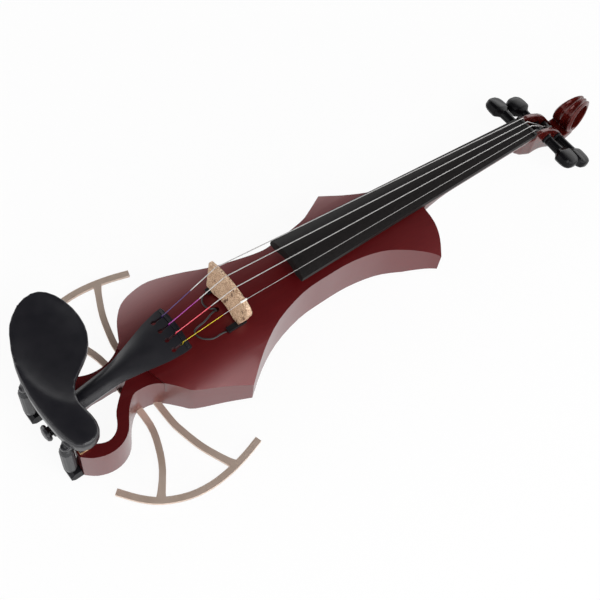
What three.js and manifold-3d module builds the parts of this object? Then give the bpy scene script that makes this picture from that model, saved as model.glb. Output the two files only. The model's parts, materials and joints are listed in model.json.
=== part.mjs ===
// Electric violin: solid asymmetric body with tail arms, steel shoulder wings and geared pegs.
// Frame: millimetres, +X from tail to scroll, +Y to the bass side, +Z out of the top.
// The origin lies on the flat back, straight below the point where the strings cross the bridge.
import * as THREE from "three";
import { mergeVertices } from "three/addons/utils/BufferGeometryUtils.js";
import Module from "manifold-3d";

const wasm = await Module();
wasm.setup();

// Strings
const stringLength = 328;
const stringPitchAngle = 8;
const bridgeStringHeight = 80;
const bridgeStringSpread = 35;
const nutStringSpread = 16.4;
const bridgeStringCrown = 2.8;
const nutStringCrown = 0.5;
const stringSideShares = { g: 0.5, d: 0.167, a: -0.167, e: -0.5 };
const stringRadiusG = 0.41;
const stringRadiusD = 0.4;
const stringRadiusA = 0.36;
const stringRadiusE = 0.2;
const ballEndRadius = 1.5;
const ballEndLength = 3;
const stringSeat = 0.12;

// Clearances
const glueGap = 0.2;
const fitGap = 0.3;
const runningGap = 0.1;
const cutOverrun = 30;

// Body
const neckReach = 190;
const tailReach = 157.5;
const bodyHalfWidth = 61;
const armHeight = 38;
const seamHeight = 24;
const archHeight = 48;
const archCrossDrop = 16;
const archCrossReach = 60;
const archNeckDrop = 8;
const archTailDrop = 7.5;
const archTailReach = 80;
const waistStepShare = 0.524;
const waistStepSlantShare = 0.29;
const hornRise = 7;
const hornRun = 26;
const hornHeadingAngles = [-62, -88, 52];
const endBlockDepth = 25;
const endBlockLength = 15.5;
const endBlockBassReach = 20;

// Body outline in plan: shares of the neck reach or tail reach, and of the half width
const trebleShoulderShares = [[1, -0.243], [0.998, -0.5], [0.976, -0.71], [0.933, -0.918]];
const trebleBoutShares = [
  [0.933, -0.918], [0.892, -0.8], [0.797, -0.611], [0.695, -0.467], [0.56, -0.385],
  [0.424, -0.372], [0.29, -0.392], [0.136, -0.518], [0.012, -0.723], [-0.125, -0.993],
];
const trebleHipShares = [
  [-0.125, -0.993], [-0.24, -0.834], [-0.378, -0.662], [-0.426, -0.534], [-0.486, -0.366],
  [-0.536, -0.292], [-0.591, -0.269], [-0.635, -0.285], [-0.692, -0.426], [-0.749, -0.64],
  [-0.813, -0.74], [-0.883, -0.754], [-0.95, -0.695], [-1, -0.59],
];
const trebleArmInnerShares = [
  [-1, -0.35], [-0.95, -0.44], [-0.902, -0.56], [-0.851, -0.61], [-0.806, -0.574],
  [-0.775, -0.492], [-0.743, -0.344], [-0.679, -0.18], [-0.635, -0.098], [-0.605, -0.03],
];
const bassArmInnerShares = [[-0.605, 0.03], [-0.635, 0.125], [-0.72, 0.135], [-0.81, 0.13],
  [-0.89, -0.02], [-0.93, -0.098]];
const endFaceShares = [[-1, -0.098], [-1, 0.61]];
const bassHipShares = [
  [-1, 0.61], [-0.965, 0.62], [-0.91, 0.535], [-0.857, 0.42], [-0.8, 0.32], [-0.745, 0.262], [-0.69, 0.246],
  [-0.634, 0.264], [-0.579, 0.33], [-0.536, 0.423], [-0.519, 0.507], [-0.472, 0.725], [-0.401, 0.92],
  [-0.315, 0.998], [-0.22, 0.995], [-0.088, 0.833], [0.044, 0.631], [0.154, 0.508], [0.257, 0.425],
  [0.325, 0.425], [0.495, 0.502], [0.568, 0.593], [0.659, 0.741],
];
const bassShoulderShares = [[0.659, 0.741], [0.74, 0.545], [0.832, 0.385], [0.92, 0.29], [1, 0.243]];
const outlineSteps = 3;

// Electronics cavity in the back
// Middle of the cavity: share of the reach to the tail
const cavityMiddleShare = 0.21888889;
const cavityTrebleReach = 25;
const cellSpacing = 6.3;
const batteryEndRoom = 4.45;
const batteryGap = 0.7;
const bayHalfLength = 7.6;
const bayBassShare = 0.79;
const coverLip = 5;
const coverThickness = 2.2;
const coverScrewInset = 2.6;
const screwHeadRadius = 2.4;
const screwHeadHeight = 1.5;
const screwShankRadius = 1.1;
const coverScrewLength = 10;
const wingScrewLength = 13;
const batteryLength = 48.5;
const batteryWidth = 26.5;
const batteryThickness = 17.3;
const terminalShares = [0.27, 0.73];
const terminalRadius = 3;
const terminalHeight = 2;
const boardThickness = 1.6;
const boardHeight = 12;
const preampWidth = 26;
const preampLength = 46;
const spacerRadius = 1.6;
const capacitorShares = [-0.3, 0.33];

// Controls and output
const wheelRadius = 8;
const wheelThickness = 3.4;
const wheelLow = 6.6;
const wheelToothDepth = 0.5;
const wheelTeeth = 18;
const wheelShaftRadius = 2.4;
const volumeWheelShares = [-0.19, 0.875];
const toneWheelShares = [-0.091, 0.71];
const wheelSlotMargin = 0.8;
const controlCanRadius = 4.4;
const jackShare = 0.29;
const jackHeight = 11.5;
const jackRadius = 5.8;
const jackFlangeRadius = 8.4;
const jackFlangeThickness = 2;
const jackBoreRadius = 3.3;
const jackBoreDepth = 18;
const jackRecess = 1.6;

// Shoulder wings
const wingThickness = 3;
const wingReach = 99;
const wingStripWidth = 5.4;
const wingJointWidth = 7.5;
const wingFlareShare = 0.22;
const wingBarWidth = 9;
const wingRimShares = [
  [0.927, 0.62], [0.857, 0.765], [0.775, 0.88], [0.66, 0.965], [0.546, 0.995], [0.43, 0.985],
  [0.318, 0.95], [0.222, 0.905],
];
const wingTailSpokeShares = [[0.608, 0.08], [0.608, 0.32], [0.637, 0.5], [0.69, 0.68], [0.778, 0.865]];
const wingNeckSpokeShares = [[0.516, 0.08], [0.512, 0.37], [0.502, 0.49], [0.47, 0.69], [0.425, 0.86],
  [0.393, 0.965]];
const wingBarY = 7.5;
const wingScrewY = 7.5;

// Fingerboard, nut and neck
const boardStart = 57;
const boardHalfWidthWide = 20.8;
const boardHalfWidthNut = 11.8;
const boardRadius = 42;
const boardDropWide = 4.1;
const boardDropNut = 0.1;
const boardEdgeThickness = 5;
const boardHollowRadius = 26;
const boardHollowDepth = 3.4;
const boardHollowLength = 92;
const nutLength = 4.2;
const neckInset = 0.8;
const neckFullness = 0.85;
const neckThicknessBody = 21;
const neckThicknessNut = 18.6;
const heelLow = 4;
const heelLength = 34;
const tenonLength = 38;
const tenonWidth = 24;
const tenonLow = 9;

// Pegbox and scroll, measured from the point where the string line crosses the nut
const pegboxLength = 41.3;
const pegboxHalfWidthNut = 11.8;
const pegboxHalfWidthEnd = 10.9;
const pegboxWall = 3.6;
const pegboxCorner = 3;
const headLead = 22;
const headLength = 92;
const headDepth = 51.5;
const headDrop = 55.35;
// Underside and top of the head: share of its length, shares of its depth.
// The first table adds a share of width.
const chinShares = [[0.002, 0.825, 0.678], [0.067, 0.685, 0.814], [0.149, 0.553, 0.898],
  [0.241, 0.458, 0.958]];
const chinTopShare = 0.874;
const pegboxShares = [
  [0.306, 0.99, 0.419], [0.372, 0.967, 0.408], [0.437, 0.917, 0.371], [0.502, 0.858, 0.311],
  [0.567, 0.784, 0.233],
  [0.622, 0.699, 0.167], [0.676, 0.598, 0.105], [0.73, 0.47, 0.054], [0.785, 0.33, 0.025],
  [0.839, 0.214, 0.01],
  [0.915, 0.223, 0.019], [0.98, 0.175, 0.072],
];
const scrollAlong = 73.5;
const scrollDrop = 32.85;
const scrollRadius = 16.9;
const scrollEyeRadius = 12.05;
const scrollHalfWidth = 8.15;
const scrollTopTaperShare = 0.212;
const scrollTipTaperShare = 0.42;
// Section of the ring: share of the way from the outer rim to the eye, share of the half width
const scrollSectionShares = [
  [0, 0], [0.2, 0.14], [0.3, 0.36], [0.2, 0.6], [0, 0.74], [0.04, 0.84], [0.3, 0.86], [0.52, 0.93],
  [0.62, 1], [0.9, 1], [1, 0.92],
];
const scrollSides = 32;

// Geared pegs
const pegG = { along: 9.7, drop: 23.4, reach: 40, side: 1, turnAngle: 25 };
const pegD = { along: 29.2, drop: 27.9, reach: 31.8, side: 1, turnAngle: 17 };
const pegA = { along: 40.6, drop: 33.6, reach: 39.35, side: -1, turnAngle: 33 };
const pegE = { along: 23.6, drop: 23.2, reach: 37.1, side: -1, turnAngle: 22 };
const housingRadius = 3.8;
const housingFlangeRadius = 4.7;
const housingReach = 2.4;
const spoolRadius = 3;
const spoolJournalRadius = 2;
const spoolJournalLength = 2.6;
const spindleRadius = 1.7;
const spindleLength = 3.6;
const pegSleeveRadius = 4.5;
const thumbLength = 21.5;
const thumbHalfWidth = 9.8;
const thumbHalfThickness = 5.9;
const thumbFullness = 0.6;
// Sleeve of a peg: share of the way to the thumb piece, share of the sleeve radius
const sleeveShares = [[0, 0.9], [0.08, 1], [0.2, 1], [0.26, 0.94], [0.9, 0.98]];
// Thumb piece of a peg: share of its length, of its half width, of its half thickness
const thumbShares = [
  [0, 0.38, 0.63], [0.1, 0.46, 0.68], [0.19, 0.7, 0.84], [0.25, 0.9, 0.98], [0.32, 0.97, 1.02], [0.52, 1, 1],
  [0.7, 0.97, 0.95], [0.83, 0.87, 0.86], [0.93, 0.66, 0.7], [0.985, 0.36, 0.42], [1, 0.14, 0.18],
];
const turnSides = 18;
const smallSides = 12;

// Bridge, pickups and lead
const bridgeHalfWidth = 20.4;
const bridgeTopHalfWidth = 18.6;
const bridgeFootThickness = 4.6;
const bridgeTopThickness = 1.6;
const bridgeCrestRise = 0.8;
const bridgeWaistShare = 0.1;
// Half outline, under-arch and heart of the bridge: shares of its half width and of its height
const bridgeSideShares = [[1, 0], [1, 0.07], [0.86, 0.16], [0.75, 0.26], [0.78, 0.4], [0.93, 0.52],
  [0.96, 0.66]];
const bridgeArchShares = [[0, 0.36], [0.18, 0.34], [0.34, 0.25], [0.47, 0.16]];
const bridgeFootInnerShare = 0.56;
const bridgeHeartShares = [
  [0, 0.47], [0.1, 0.56], [0.13, 0.64], [0.07, 0.69], [0, 0.65], [-0.07, 0.69], [-0.13, 0.64], [-0.1, 0.56],
];
const bridgeKidneyRadius = 3;
const bridgeKidneyShares = [0.56, 0.56];
const pickupThickness = 2;
const pickupWidth = 9.2;
const pickupBlockLength = 12;
const pickupBlockWidth = 4.4;
const pickupBlockHeight = 3.8;
const bassBlockLength = 6;
const leadRadius = 0.7;
const leadHoleRadius = 2.3;
const leadHoleInset = 2.5;
const leadHoleY = 2;
const leadEndHeight = 19;
const leadReach = 36;
// Route of each lead over the top: shares of the lead's reach and of the bridge's half width
const trebleLeadShares = [
  [0.52, -0.85], [0.744, -0.828], [0.917, -0.627], [0.994, -0.373], [0.961, -0.176], [0.847, -0.118],
  [0.722, -0.108],
  [0.583, -0.049], [0.444, 0.029],
];
const bassLeadShares = [[0.33, 0.86], [0.43, 0.686], [0.458, 0.466], [0.411, 0.245]];
const leadSteps = { treble: 28, bass: 20 };

// Tailpiece, tail cord, saddle and end button
const tailpieceHead = 47.5;
const tailCordSpan = 16.5;
const tailpieceHeight = 65.7;
const tailpieceTailHeight = 45.878;
const tailpieceHalfWidth = 20.5;
// Half widths and crowns along the tailpiece: share of length, share of half width, share of crown
const tailpieceShares = [
  [0, 1, 0.8], [0.06, 1, 0.85], [0.2, 0.9, 0.9], [0.32, 0.75, 1], [0.44, 0.6, 1.05], [0.56, 0.46, 1.1],
  [0.68, 0.405, 1.15], [0.84, 0.39, 1.2], [1, 0.375, 1.2],
];
const tailpieceCrown = 3.2;
const tailpieceEdge = 3;
const slotSpacing = 9;
const slotHalfWidth = 0.75;
const slotLength = 8.5;
const keyholeRadius = 1.9;
const ridgeOffset = 3.2;
const ridgeWidth = 1.6;
const ridgeHeight = 1.4;
const tailCordRadius = 1;
const tailCordSpacing = 6;
const tailCordGrip = 8;
const saddleLength = 5;
const saddleHalfWidth = 5.4;
const saddleRise = 2.4;
const saddleSink = 3;
const buttonHeight = 22.5;
const buttonRadius = 7;
const buttonNeckRadius = 4;
const buttonNeckLength = 5.5;
const buttonHeadThickness = 5;
const buttonShankRadius = 3.4;
const buttonShankLength = 14;
// End button outside its neck: share of the head thickness, share of the head radius
const buttonHeadShares = [[0.06, 0.9], [0.4, 1], [0.8, 0.86], [1, 0.4]];

// Chinrest and its clamps
const chinrestLow = 50;
const chinrestHigh = 63.5;
const chinrestOverhang = 8.5;
const chinrestDepth = 65;
const chinrestTreble = 41;
const chinrestWidth = 129;
const chinrestRound = 3.4;
const chinrestDish = 6.2;
const chinrestDishShares = [0.54, 0.66, 0.56, 0.52];
const chinrestOutlineShares = [
  [0.229, 0.841], [0.315, 0.906], [0.477, 0.974], [0.649, 0.998], [0.782, 0.984], [0.887, 0.93],
  [0.964, 0.843],
  [0.997, 0.746], [0.987, 0.649], [0.935, 0.572], [0.82, 0.494], [0.668, 0.436], [0.534, 0.388],
  [0.453, 0.325],
  [0.425, 0.252], [0.448, 0.174], [0.458, 0.107], [0.42, 0.044], [0.334, 0.01], [0.21, 0.005],
  [0.105, 0.039],
  [0.043, 0.116], [0.01, 0.252], [0, 0.388], [0.024, 0.543], [0.1, 0.693],
];
const chinrestFootLength = 8;
const chinrestFootWidth = 6.5;
const chinrestFootInset = 5;
const chinrestFootY = 31.5;
const lugRadius = 3.8;
const lugDrop = 1.4;
const lugHeight = 4.2;
const studSeat = 1.2;
const corkThickness = 1.4;
const clampStandoff = 6.1;
const clampY = 28;
const barrelRadius = 5.6;
const barrelLow = 6.3;
const barrelHigh = 48.2;
const barrelRibs = 14;
const barrelRibDepth = 0.45;
const barrelDomeHeight = 8;
const barrelEndRadius = 3.4;
// Rounded lower end of a barrel: share of the dome height, share of the barrel radius
const barrelDomeShares = [[0, 0.4], [0.14, 0.66], [0.4, 0.86], [0.75, 0.96]];
const studRadius = 2;
const studReach = 12;
const jawWidth = 11.5;
const jawFloor = 3;
const jawTop = 5.5;
const jawOverhang = 9.8;
const jawReach = 19;
const jawWedge = 3.2;
const clampLead = 1;
const clampTurns = 3;

// A closed geometry as a solid for joining and cutting
function solidOf(shape) {
  if (!shape.isBufferGeometry) return shape;
  const bare = shape.index ? shape.toNonIndexed() : shape.clone();
  bare.deleteAttribute("normal");
  bare.deleteAttribute("uv");
  const merged = mergeVertices(bare, 1e-4);
  const make = (triVerts) =>
    new wasm.Manifold(new wasm.Mesh({ numProp: 3, vertProperties: merged.attributes.position.array,
      triVerts }));
  const faces = new Uint32Array(merged.index.array);
  const made = make(faces);
  if (made.volume() > 0) return made;
  for (let i = 0; i < faces.length; i += 3) [faces[i + 1], faces[i + 2]] = [faces[i + 2], faces[i + 1]];
  return make(faces);
}

function geometryOf(shape) {
  const mesh = solidOf(shape).getMesh();
  const geometry = new THREE.BufferGeometry();
  geometry.setAttribute("position", new THREE.BufferAttribute(new Float32Array(mesh.vertProperties), 3));
  geometry.setIndex(new THREE.BufferAttribute(new Uint32Array(mesh.triVerts), 1));
  geometry.computeVertexNormals();
  return geometry;
}

const join = (...shapes) => shapes.map(solidOf).reduce((sum, shape) => sum.add(shape));
const cut = (base, ...tools) =>
  tools.map(solidOf).reduce((rest, tool) => rest.subtract(tool), solidOf(base));
const common = (first, second) => solidOf(first).intersect(solidOf(second));

const violin = new THREE.Group();

function place(name, shape, material, parent = violin) {
  const mesh = new THREE.Mesh(geometryOf(shape), material);
  mesh.name = name;
  parent.add(mesh);
  return mesh;
}

// Finishes
const finish = (color, roughness, metalness = 0) =>
  new THREE.MeshStandardMaterial({ color, roughness, metalness });
const varnish = () => finish(0x5c120c, 0.35);
const ebony = () => finish(0x17181a, 0.45);
const blackPlastic = () => finish(0x101113, 0.35);
const greyPlastic = () => finish(0x55565a, 0.5);
const steel = () => finish(0xb9ada2, 0.3, 1);
const screwSteel = () => finish(0xc4c4c2, 0.3, 1);
const maple = () => finish(0xc9a070, 0.6);
const cork = () => finish(0xb98d5c, 0.9);

// Forms
const vector = (x, y, z) => new THREE.Vector3(x, y, z);
const mix = THREE.MathUtils.lerp;

// A prism standing on a plan outline
function prism(outline, low, high) {
  const geometry = new THREE.ExtrudeGeometry(new THREE.Shape(outline),
    { depth: high - low, bevelEnabled: false });
  return geometry.translate(0, 0, low);
}

// A prism across the body, from a side profile of (x, z) points
function sidePrism(profile, lowY, highY) {
  return prism(profile, -highY, -lowY).rotateX(Math.PI / 2);
}

// A prism along the body, from a front profile of (y, z) points
function frontPrism(profile, lowX, highX) {
  const turn = new THREE.Matrix4().makeBasis(vector(0, 1, 0), vector(0, 0, 1), vector(1, 0, 0));
  return prism(profile, lowX, highX).applyMatrix4(turn);
}

function box(low, high) {
  const size = high.clone().sub(low);
  const middle = low.clone().add(high).multiplyScalar(0.5);
  return new THREE.BoxGeometry(size.x, size.y, size.z).translate(middle.x, middle.y, middle.z);
}

// A revolved piece about +Z, from (radius, height) points
const turnedUp = (profile, sides = turnSides) =>
  new THREE.LatheGeometry(profile.map(([r, h]) => new THREE.Vector2(r, h)), sides).rotateX(Math.PI / 2);

// A revolved piece about +Y
const turnedOut = (profile, sides = turnSides) =>
  new THREE.LatheGeometry(profile.map(([r, h]) => new THREE.Vector2(r, h)), sides);

const rod = (radius, low, high, sides = turnSides) =>
  turnedUp([[0, low], [radius, low], [radius, high], [0, high]], sides);
const rodOut = (radius, low, high, sides = turnSides) =>
  turnedOut([[0, low], [radius, low], [radius, high], [0, high]], sides);

// A skin over rings of equal point counts, with a fan at each end
function loft(rings) {
  const count = rings[0].length;
  const positions = rings.flat().flatMap((p) => [p.x, p.y, p.z]);
  const middles = [rings[0], rings.at(-1)].map((ring) => {
    const middle = vector(0, 0, 0);
    ring.forEach((p) => middle.add(p));
    return middle.divideScalar(count);
  });
  middles.forEach((p) => positions.push(p.x, p.y, p.z));
  const index = [];
  rings.slice(1).forEach((_, row) => {
    for (let i = 0; i < count; i += 1) {
      const [a, b] = [row * count + i, row * count + ((i + 1) % count)];
      index.push(a, b, b + count, a, b + count, a + count);
    }
  });
  const last = (rings.length - 1) * count;
  for (let i = 0; i < count; i += 1) {
    index.push(rings.length * count, (i + 1) % count, i);
    index.push(rings.length * count + 1, last + i, last + ((i + 1) % count));
  }
  const geometry = new THREE.BufferGeometry();
  geometry.setAttribute("position", new THREE.Float32BufferAttribute(positions, 3));
  geometry.setIndex(index);
  return geometry;
}

// A route that keeps each of its points, so that a cord bends exactly there
class Route extends THREE.Curve {
  constructor(points) {
    super();
    this.points = points;
  }
  getPoint(t, target = vector(0, 0, 0)) {
    const spans = this.points.length - 1;
    const span = Math.min(Math.floor(t * spans), spans - 1);
    return target.lerpVectors(this.points[span], this.points[span + 1], t * spans - span);
  }
  getPointAt(t, target) {
    return this.getPoint(t, target);
  }
  getTangentAt(t, target) {
    return this.getTangent(t, target);
  }
}

function cord(points, radius) {
  const circle = new THREE.Shape(new THREE.EllipseCurve(0, 0, radius, radius).getPoints(8).slice(0, 8));
  return new THREE.ExtrudeGeometry(circle, {
    steps: points.length - 1,
    bevelEnabled: false,
    extrudePath: new Route(points),
  });
}

// A smooth cord through points chosen by hand
const smoothCord = (points, radius, steps) =>
  cord(new THREE.CatmullRomCurve3(points).getSpacedPoints(steps), radius);

const smoothPlan = (points, steps = outlineSteps) =>
  new THREE.SplineCurve(points).getPoints((points.length - 1) * steps);

// Places worked out from the driving sizes
const waistStep = waistStepShare * tailReach;
const tailpieceTail = tailReach - tailCordSpan;
const chinrestTail = tailReach + chinrestOverhang;
const chinrestFootX = -(tailReach - chinrestFootInset);
const clampX = -(tailReach + clampStandoff);
const cavityDepth = coverThickness + batteryGap + batteryThickness + fitGap;
const cavityMiddle = -cavityMiddleShare * tailReach;
const cavityHalfLength = (batteryLength + batteryEndRoom) / 2;
const cavityNeckX = cavityMiddle + cavityHalfLength;
const cavityTail = cavityMiddle - cavityHalfLength;
const leadHoleX = cavityNeckX - leadHoleInset;
const cavityTrebleY = -cavityTrebleReach;
const cavityBassY = cavityTrebleY + preampWidth + batteryWidth + cellSpacing + fitGap * 4;

// Body surfaces
const bodyPoint = ([along, across]) =>
  new THREE.Vector2(along * (along > 0 ? neckReach : tailReach), across * bodyHalfWidth);

function topHeight(x, y) {
  const across = archCrossDrop * (y / archCrossReach) ** 2;
  const along = x > 0 ? archNeckDrop * (x / neckReach) ** 2 : archTailDrop *
    Math.min(1, (x / archTailReach) ** 2);
  return archHeight - across - along;
}

function bodyOutline() {
  const stretches = [
    trebleShoulderShares, trebleBoutShares, trebleHipShares, trebleArmInnerShares, bassArmInnerShares,
    endFaceShares, bassHipShares, bassShoulderShares,
  ];
  const outline = [];
  stretches.forEach((shares) => {
    const points = shares.map(bodyPoint);
    const smooth = points.length > 2 ? smoothPlan(points) : points;
    smooth.forEach((point) => {
      if (!outline.length || outline.at(-1).distanceTo(point) > fitGap) outline.push(point);
    });
  });
  return outline;
}

// The region on the neck side of the slanted step across the waist
function plateZone(low, high, shift) {
  const edge = (y) => -waistStep - waistStepSlantShare * y + shift;
  const wide = bodyHalfWidth + cutOverrun;
  const far = neckReach + cutOverrun;
  const outline = [[edge(-wide), -wide], [far, -wide], [far, wide], [edge(wide), wide]];
  return prism(outline.map(([x, y]) => new THREE.Vector2(x, y)), low, high);
}

// Everything above the arched top
function airAboveArch() {
  const columns = 14;
  const rows = 16;
  const wide = bodyHalfWidth + pickupThickness;
  const rings = [];
  for (let i = 0; i <= columns; i += 1) {
    const x = mix(-waistStep - wide * waistStepSlantShare - fitGap, neckReach + cutOverrun, i / columns);
    const ring = [];
    for (let j = 0; j <= rows; j += 1) {
      const y = mix(-wide, wide, j / rows);
      ring.push(vector(x, y, topHeight(x, y)));
    }
    ring.push(vector(x, wide, archHeight + cutOverrun), vector(x, -wide, archHeight + cutOverrun));
    rings.push(ring);
  }
  return loft(rings);
}

function hornRelief(share, headingAngle) {
  const tip = bodyPoint(share);
  const heading = THREE.MathUtils.degToRad(headingAngle);
  const wide = bodyHalfWidth + cutOverrun;
  const block = new THREE.BoxGeometry(wide, wide, wide).translate(wide / 2, 0, -wide / 2);
  block.rotateY(-Math.atan(hornRise / hornRun)).rotateZ(heading);
  return block.translate(tip.x - hornRun * Math.cos(heading), tip.y - hornRun * Math.sin(heading), 0);
}

const wheelPlaces = { volume: bodyPoint(volumeWheelShares), tone: bodyPoint(toneWheelShares) };
const bayBassY = bayBassShare * bodyHalfWidth;
const bayTailX = wheelPlaces.volume.x - bayHalfLength;
const bayNeckX = wheelPlaces.volume.x + bayHalfLength;

function cavityOutline(margin) {
  const corners = [
    [cavityTail - margin, cavityTrebleY - margin], [cavityNeckX + margin, cavityTrebleY - margin],
    [cavityNeckX + margin, cavityBassY + margin], [bayNeckX, bayBassY + margin],
    [bayTailX - margin, bayBassY + margin], [bayTailX - margin, cavityBassY + margin],
    [cavityTail - margin, cavityBassY + margin],
  ];
  return corners.map(([x, y]) => new THREE.Vector2(x, y));
}

const coverScrewPlaces = [
  [cavityTail - coverScrewInset, cavityTrebleY - coverScrewInset],
  [cavityNeckX + coverScrewInset, cavityTrebleY - coverScrewInset],
  [cavityNeckX + coverScrewInset, cavityBassY],
  [cavityTail - coverScrewInset, cavityBassY + coverScrewInset],
];

const jackX = -jackShare * tailReach;
const jackFace = bodyHalfWidth - jackRecess;

function screwCut(x, y, length) {
  const depth = length + fitGap;
  const flare = screwHeadRadius + fitGap;
  const profile = [
    [0, -cutOverrun], [flare, -cutOverrun], [flare, 0], [screwShankRadius + fitGap, screwHeadHeight],
    [screwShankRadius + fitGap, depth], [0, depth],
  ];
  return turnedUp(profile, smallSides).translate(x, y, 0);
}

// A countersunk screw seen from below, its head flush with the back
function screw(x, y, length) {
  const slot = screwHeadRadius / 4;
  const profile = [[0, fitGap], [screwHeadRadius, fitGap], [screwShankRadius, screwHeadHeight],
    [screwShankRadius, length], [0, length]];
  const bar = box(vector(-slot, -screwHeadRadius, -fitGap), vector(slot, screwHeadRadius, fitGap + slot));
  const body = cut(turnedUp(profile, smallSides), bar);
  return geometryOf(body).translate(x, y, 0);
}

const wingPoint = (side) => ([along, across]) =>
  new THREE.Vector2(-along * tailReach, side * across * wingReach);
const wingSides = { bass: 1, treble: -1 };

// A flat strip along a plan curve, wider at its ends where it runs into its neighbours
function strip(points, width, startWidth, endWidth, low, high) {
  const curve = new THREE.SplineCurve(points);
  const steps = (points.length - 1) * outlineSteps;
  const edges = [[], []];
  for (let i = 0; i <= steps; i += 1) {
    const t = i / steps;
    const near = Math.max(0, 1 - t / wingFlareShare) ** 2 * (startWidth - width);
    const flare = near + Math.max(0, 1 - (1 - t) / wingFlareShare) ** 2 * (endWidth - width);
    const point = curve.getPoint(t);
    const tangent = curve.getTangent(t);
    const half = (width + flare) / 2;
    edges[0].push(new THREE.Vector2(point.x - tangent.y * half, point.y + tangent.x * half));
    edges[1].unshift(new THREE.Vector2(point.x + tangent.y * half, point.y - tangent.x * half));
  }
  return prism([...edges[0], ...edges[1]], low, high);
}

function wingBlank(side, margin, low, high) {
  const at = wingPoint(side);
  const tailRoot = at(wingTailSpokeShares[0]);
  const neckRoot = at(wingNeckSpokeShares[0]);
  const wide = margin * 2;
  const bar = box(
    vector(tailRoot.x - wingBarWidth / 2 - margin, side * wingBarY - wingBarWidth / 2 - margin, low),
    vector(neckRoot.x + wingBarWidth / 2 + margin, side * wingBarY + wingBarWidth / 2 + margin, high),
  );
  const spoke = (shares) =>
    strip(shares.map(at), wingStripWidth + wide, wingStripWidth + wide, wingJointWidth + wide, low, high);
  return { bar, spokes: [spoke(wingTailSpokeShares), spoke(wingNeckSpokeShares)] };
}

function makeBody() {
  const outline = bodyOutline();
  const above = archHeight + cutOverrun;
  const slotHalf = tenonWidth / 2 + fitGap;
  const neckSlot = box(vector(neckReach - tenonLength - fitGap, -slotHalf, tenonLow - fitGap),
    vector(neckReach + cutOverrun, slotHalf, above));
  const leadHole = rod(leadHoleRadius, cavityDepth - fitGap, above).translate(leadHoleX, leadHoleY, 0);
  const endRelief = box(
    vector(-tailReach - cutOverrun, trebleArmInnerShares[0][1] * bodyHalfWidth + fitGap, -cutOverrun),
    vector(-tailReach + endBlockLength, endBlockBassReach, armHeight - endBlockDepth),
  );
  const buttonHole = rod(buttonShankRadius + fitGap, -cutOverrun, buttonShankLength + fitGap)
    .rotateY(Math.PI / 2)
    .translate(-tailReach, 0, buttonHeight);
  const saddleSeat = box(
    vector(-tailReach - cutOverrun, -saddleHalfWidth - glueGap, armHeight - saddleSink - glueGap),
    vector(-tailReach + saddleLength + glueGap, saddleHalfWidth + glueGap, above),
  );
  const hornTips = [trebleBoutShares[0], trebleHipShares[0], bassShoulderShares[0]];
  const horns = hornTips.map((tip, i) => hornRelief(tip, hornHeadingAngles[i]));
  const cavity = prism(cavityOutline(0), -cutOverrun, cavityDepth);
  const coverSeat = prism(cavityOutline(coverLip), -cutOverrun, coverThickness + fitGap);
  const wheelSlots = Object.values(wheelPlaces).map((at) => {
    const reach = wheelRadius + wheelSlotMargin;
    return turnedUp([
      [0, wheelLow - wheelSlotMargin], [reach, wheelLow - wheelSlotMargin],
      [reach, wheelLow + wheelThickness + wheelSlotMargin], [0, wheelLow + wheelThickness + wheelSlotMargin],
    ]).translate(at.x, at.y, 0);
  });
  const wheelBays = Object.values(wheelPlaces).map((at) =>
    rod(controlCanRadius + fitGap, wheelLow, cavityDepth).translate(at.x, at.y, 0));
  const jackBore = join(
    rodOut(jackRadius + fitGap, cavityBassY - cutOverrun, bodyHalfWidth),
    rodOut(jackFlangeRadius + fitGap, jackFace - jackFlangeThickness - glueGap, bodyHalfWidth + cutOverrun),
  );
  const jackHole = geometryOf(jackBore).translate(jackX, 0, jackHeight);
  const wings = Object.values(wingSides).map((side) => {
    const blank = wingBlank(side, fitGap, -cutOverrun, wingThickness + glueGap);
    return join(blank.bar, ...blank.spokes);
  });
  const wingScrews = wingScrewPlaces.map(([, x, y]) => screwCut(x, y, wingScrewLength));
  const coverScrews = coverScrewPlaces.map(([x, y]) => screwCut(x, y, coverScrewLength));
  const core = cut(
    prism(outline, 0, armHeight), plateZone(seamHeight, above, 0), neckSlot, leadHole, endRelief,
      buttonHole, saddleSeat,
    ...horns, cavity, coverSeat, ...wheelSlots, ...wheelBays, jackHole, ...wings, ...wingScrews,
      ...coverScrews,
  );
  const plate = cut(common(prism(outline, seamHeight, above), plateZone(0, above, glueGap)),
    airAboveArch(), neckSlot, leadHole);
  place("body_core", core, varnish());
  place("top_plate", plate, varnish());
}

const wingScrewPlaces = Object.entries(wingSides).flatMap(([name, side]) => [
  [`wing_screw_${name}_tail`, -wingTailSpokeShares[0][0] * tailReach, side * wingScrewY],
  [`wing_screw_${name}_neck`, -wingNeckSpokeShares[0][0] * tailReach, side * wingScrewY],
]);

function makeWings() {
  Object.entries(wingSides).forEach(([name, side]) => {
    const blank = wingBlank(side, 0, 0, wingThickness);
    const rim = strip(wingRimShares.map(wingPoint(side)), wingStripWidth, wingStripWidth, wingStripWidth,
      0, wingThickness);
    const holes = wingScrewPlaces.map(([, x, y]) => screwCut(x, y, wingScrewLength));
    place(`wing_${name}`, cut(join(blank.bar, ...blank.spokes, rim), ...holes), steel());
  });
  wingScrewPlaces.forEach(([name, x, y]) => place(name, screw(x, y, wingScrewLength), screwSteel()));
}

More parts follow.
